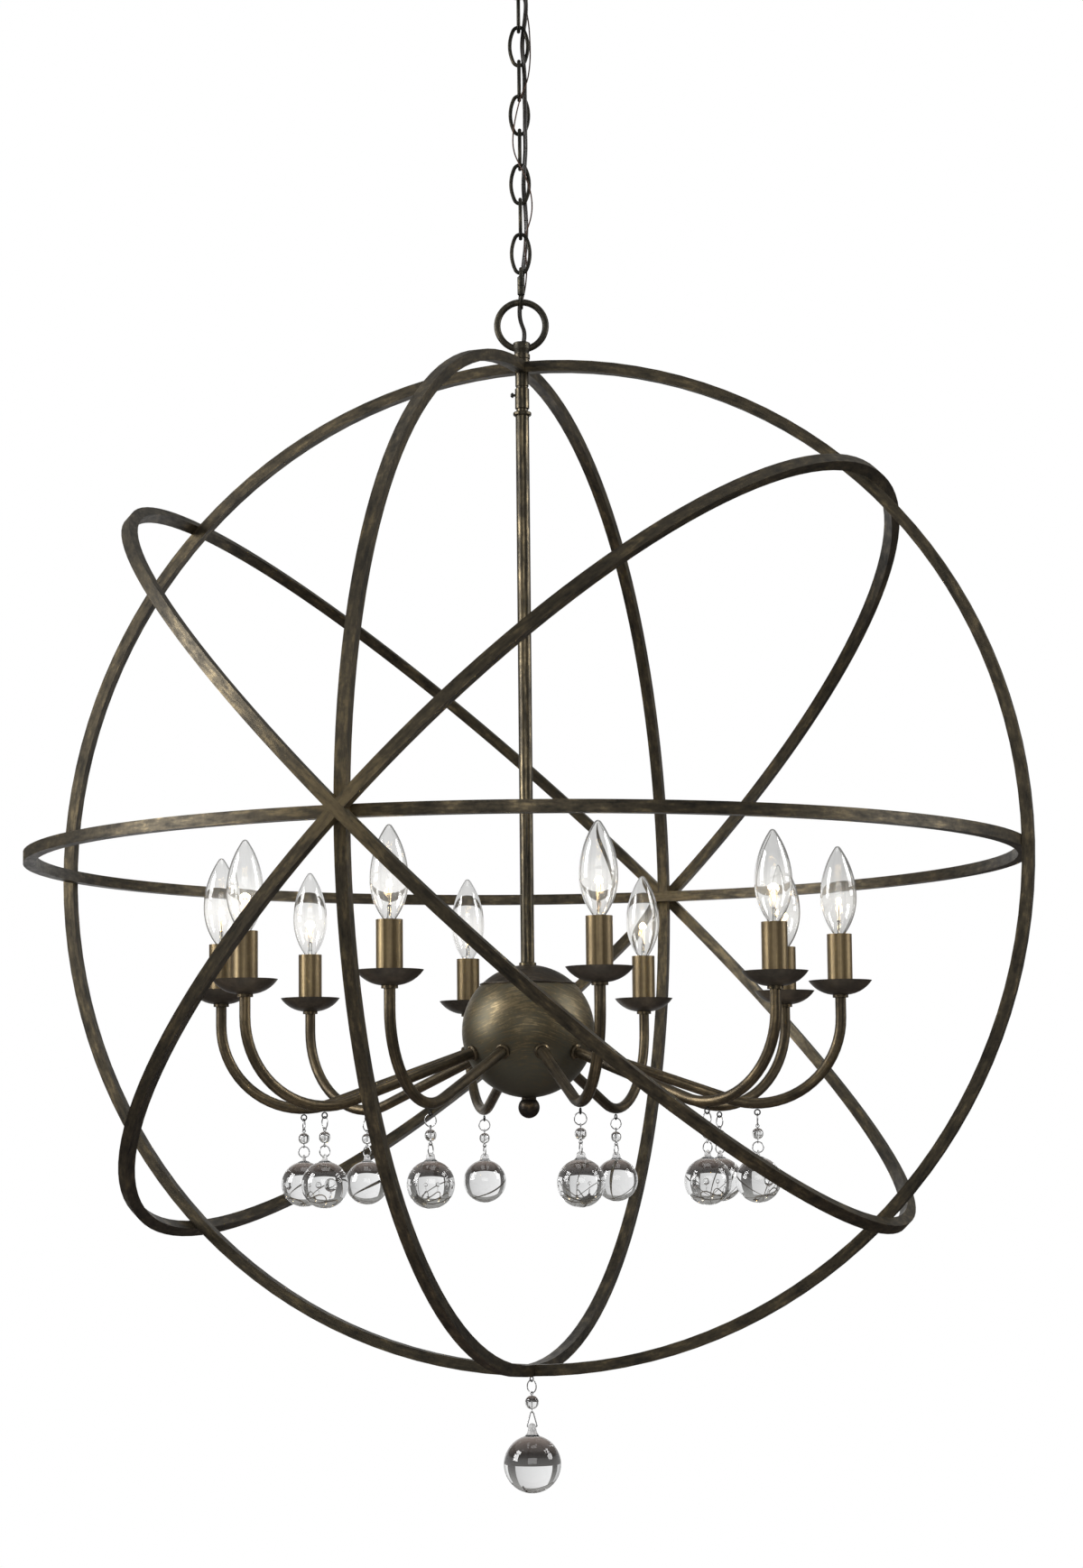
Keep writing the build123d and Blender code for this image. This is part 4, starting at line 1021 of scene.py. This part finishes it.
def lamp_filament():
    """Coil that bows up in its middle."""
    line = []
    for step in range(COIL_STEPS + 1):
        share = step / COIL_STEPS
        angle = 2 * pi * COIL_TURNS * share
        height = FILAMENT_RISE + FILAMENT_BOW * sin(pi * share)
        sideways = FILAMENT_REACH * (2 * share - 1)
        line.append((sideways, COIL_RADIUS * cos(angle), height + COIL_RADIUS * sin(angle)))
    return wire(line, COIL_WIRE)


def lamp_base():
    """Metal screw base with its contact and thread."""
    thread = [(0, BASE_LOW), (2.9, BASE_LOW), (3.2, BASE_LOW + 1.2), (5.0, BASE_LOW + 2.6)]
    z = BASE_LOW + 3.2
    while z < MOUNT_LOW - 2.2:
        thread += [(THREAD_RADIUS, z), (THREAD_ROOT, z + THREAD_PITCH / 2)]
        z += THREAD_PITCH
    thread += [(5.8, MOUNT_LOW - 1.4), (5.8, MOUNT_LOW - 0.7), (0, MOUNT_LOW - 0.7)]
    return turned(thread, segments=40)


def candle_places(reach):
    """Matrix of each arm's place at a radius, turned to face outwards."""
    for index in range(ARM_COUNT):
        turn = radians(ARM_TURN + index * 360 / ARM_COUNT - 90)
        yield Matrix.Rotation(turn, 4, "Z") @ Matrix.Translation((reach * MM, 0, 0))


def make_lamp_pieces(name, shape, material, node):
    """One piece that holds the same shape in all ten lamps."""
    vertices, faces = shape
    whole = ([], [])
    lift = Matrix.Translation((0, 0, SLEEVE_TOP * MM))
    for number, place in enumerate(candle_places(ARM_REACH)):
        spin = Matrix.Rotation(radians(LAMP_SPIN_STEP * number + LAMP_SPIN), 4, "Z")
        matrix = place @ lift @ spin @ Matrix.Scale(MM, 4)
        merge(whole, ([matrix @ Vector(v) for v in vertices], faces))
    piece = mesh_object(name, *whole, material)
    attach(piece, "fixture")
    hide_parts(node)


def make_lamps():
    """Ten lamps: clear shells, glass mounts, wires, glowing coils and screw bases."""
    clear = lit_glass("lamp_glass_clear", (0.965, 0.965, 0.96, 1), LAMP_IOR)
    stalk = clear_glass("lamp_mount_glass", (0.97, 0.98, 0.97, 1), LAMP_IOR, roughness=0.03)
    steel = speckled("lamp_wire", ("5d5a55", "8d8982"), grain=800, roughness=0.3, metallic=1.0)
    glow = glowing("filament_glow", FILAMENT_COLOUR, FILAMENT_STRENGTH)
    brass = speckled("lamp_brass", ("8f7238", "c7a45c"), grain=500, roughness=0.28, metallic=1.0)
    make_lamp_pieces("lamp_shells", lamp_shell(), clear, "lamp_glass")
    make_lamp_pieces("lamp_mounts", lamp_mount(), stalk, "lamp_bases")
    make_lamp_pieces("lamp_wires", lamp_wires(), steel, "lamp_bases")
    make_lamp_pieces("lamp_filaments", lamp_filament(), glow, "lamp_bases")
    make_lamp_pieces("lamp_screw_bases", lamp_base(), brass, "lamp_bases")


# Pendants, with shapes in millimetres


def ball_mesh(radius, top, lug_height, lug_radius, foot, thick):
    """Glass ball below a domed lug that flares into it, pressed to a thickness along X."""
    centre = top - lug_height - radius
    dome_z = top - lug_radius
    line = arc((0, centre), radius, -pi / 2, pi / 2 - asin(foot / radius), count=72)
    out = foot - lug_radius
    down = dome_z - line[-1][1]
    flare = (out**2 + down**2) / (2 * out)
    line += arc((lug_radius + flare, dome_z), flare, atan2(-down, out - flare), -pi, count=12)[1:]
    line += arc((0, dome_z), lug_radius, 0, pi / 2, count=16)[1:]
    vertices, faces = turned(line, segments=96)
    flat = thick / (2 * lug_radius)
    shaped = []
    for x, y, z in vertices:
        share = (z - centre - radius - PRESS_FROM) / (PRESS_TO - PRESS_FROM)
        share = min(max(share, 0), 1)
        share = share * share * (3 - 2 * share)
        shaped.append((x * (1 + (flat - 1) * share), y, z))
    return shaped, faces


def bead_mesh(radius, centre):
    """Drilled bead."""
    reach = asin(BEAD_HOLE_RADIUS / radius)
    line = arc((0, centre), radius, -pi / 2 + reach, pi / 2 - reach, count=32)
    return turned([*line, line[0]], segments=56)


def drilled(name, ball, hole_z, material):
    """Vertices and faces, in metres, of a ball whose lug is drilled along X."""
    made = mesh_object(name, [Vector(v) * MM for v in ball[0]], ball[1], material)
    bpy.ops.mesh.primitive_cylinder_add(
        vertices=24,
        radius=LUG_HOLE_RADIUS * MM,
        depth=DRILL_LENGTH * MM,
        location=(0, 0, hole_z * MM),
        rotation=(0, pi / 2, 0),
    )
    drill = bpy.context.object
    cut = made.modifiers.new("drill", "BOOLEAN")
    cut.operation = "DIFFERENCE"
    cut.solver = "EXACT"
    cut.object = drill
    graph = bpy.context.evaluated_depsgraph_get()
    mesh = bpy.data.meshes.new_from_object(made.evaluated_get(graph))
    bpy.data.objects.remove(drill)
    bpy.data.objects.remove(made)
    shape = ([v.co.copy() for v in mesh.vertices], [list(p.vertices) for p in mesh.polygons])
    bpy.data.meshes.remove(mesh)
    return shape


def pendant_glass(name, node, bead_radius, hole_drop, materials, ball_radius, lug_height, *lug):
    """Ball and bead where the CAD node has them, with the node's own axis at X = Y = 0."""
    clear, pressed = materials
    low, high = (corner.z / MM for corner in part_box(node))
    lug_z = low + 2 * ball_radius
    top = lug_z + lug_height
    ball = ball_mesh(ball_radius, top, lug_height, *lug)
    whole = drilled(name, ball, top - hole_drop, clear)
    ball_faces = len(whole[1])
    vertices, faces = bead_mesh(bead_radius, high - bead_radius)
    merge(whole, ([Vector(v) * MM for v in vertices], faces))
    made = mesh_object(name, *whole, clear)
    made.data.set_sharp_from_angle(angle=radians(SHARP_ANGLE))
    made.data.materials.append(pressed)
    for face in list(made.data.polygons)[:ball_faces]:
        face.material_index = int(face.center.z > lug_z * MM)
    return made


def hang_pendant(piece, number, place):
    """Puts a pendant's glass in its place, riding on its own body."""
    piece.matrix_world = place
    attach(piece, f"pendant_{number}")
    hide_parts(f"crystal_{number}")


def make_pendants():
    """Ten alike under the arms, and a larger one under the cage."""
    clear = clear_glass("crystal_clear", (0.985, 0.99, 0.99, 1), CRYSTAL_IOR)
    cloudy = (0.96, 0.96, 0.96, 1)
    pressed = clear_glass("crystal_pressed", cloudy, PRESSED_IOR, roughness=0.32, clarity=0.7)
    crystal = (clear, pressed)
    small = (BALL_RADIUS, LUG_HEIGHT, LUG_RADIUS, LUG_FOOT, LUG_THICK)
    first = pendant_glass("crystal_glass_01", "crystal_01", BEAD_RADIUS, LUG_HOLE_DROP, crystal, *small)
    for index, place in enumerate(candle_places(PENDANT_REACH)):
        number = f"{index + 1:02d}"
        piece = first
        if index:
            piece = bpy.data.objects.new(f"crystal_glass_{number}", first.data)
            bpy.context.scene.collection.objects.link(piece)
        hang_pendant(piece, number, place)
    number = f"{ARM_COUNT + 1:02d}"
    large = (LOW_BALL_RADIUS, LOW_LUG_HEIGHT, LOW_LUG_RADIUS, LOW_LUG_FOOT, 2 * LOW_LUG_RADIUS)
    names = (f"crystal_glass_{number}", f"crystal_{number}")
    lowest = pendant_glass(*names, LOW_BEAD_RADIUS, LOW_HOLE_DROP, crystal, *large)
    hang_pendant(lowest, number, Matrix.Rotation(radians(CHAIN_TURN), 4, "Z"))


def main():
    bpy.context.scene.view_settings.view_transform = "Standard"
    make_camera()
    make_world()
    make_boards()
    make_floor()
    make_lights()
    make_cords()
    paint_nodes()
    make_lamps()
    make_pendants()
    bpy.context.view_layer.update()


main()
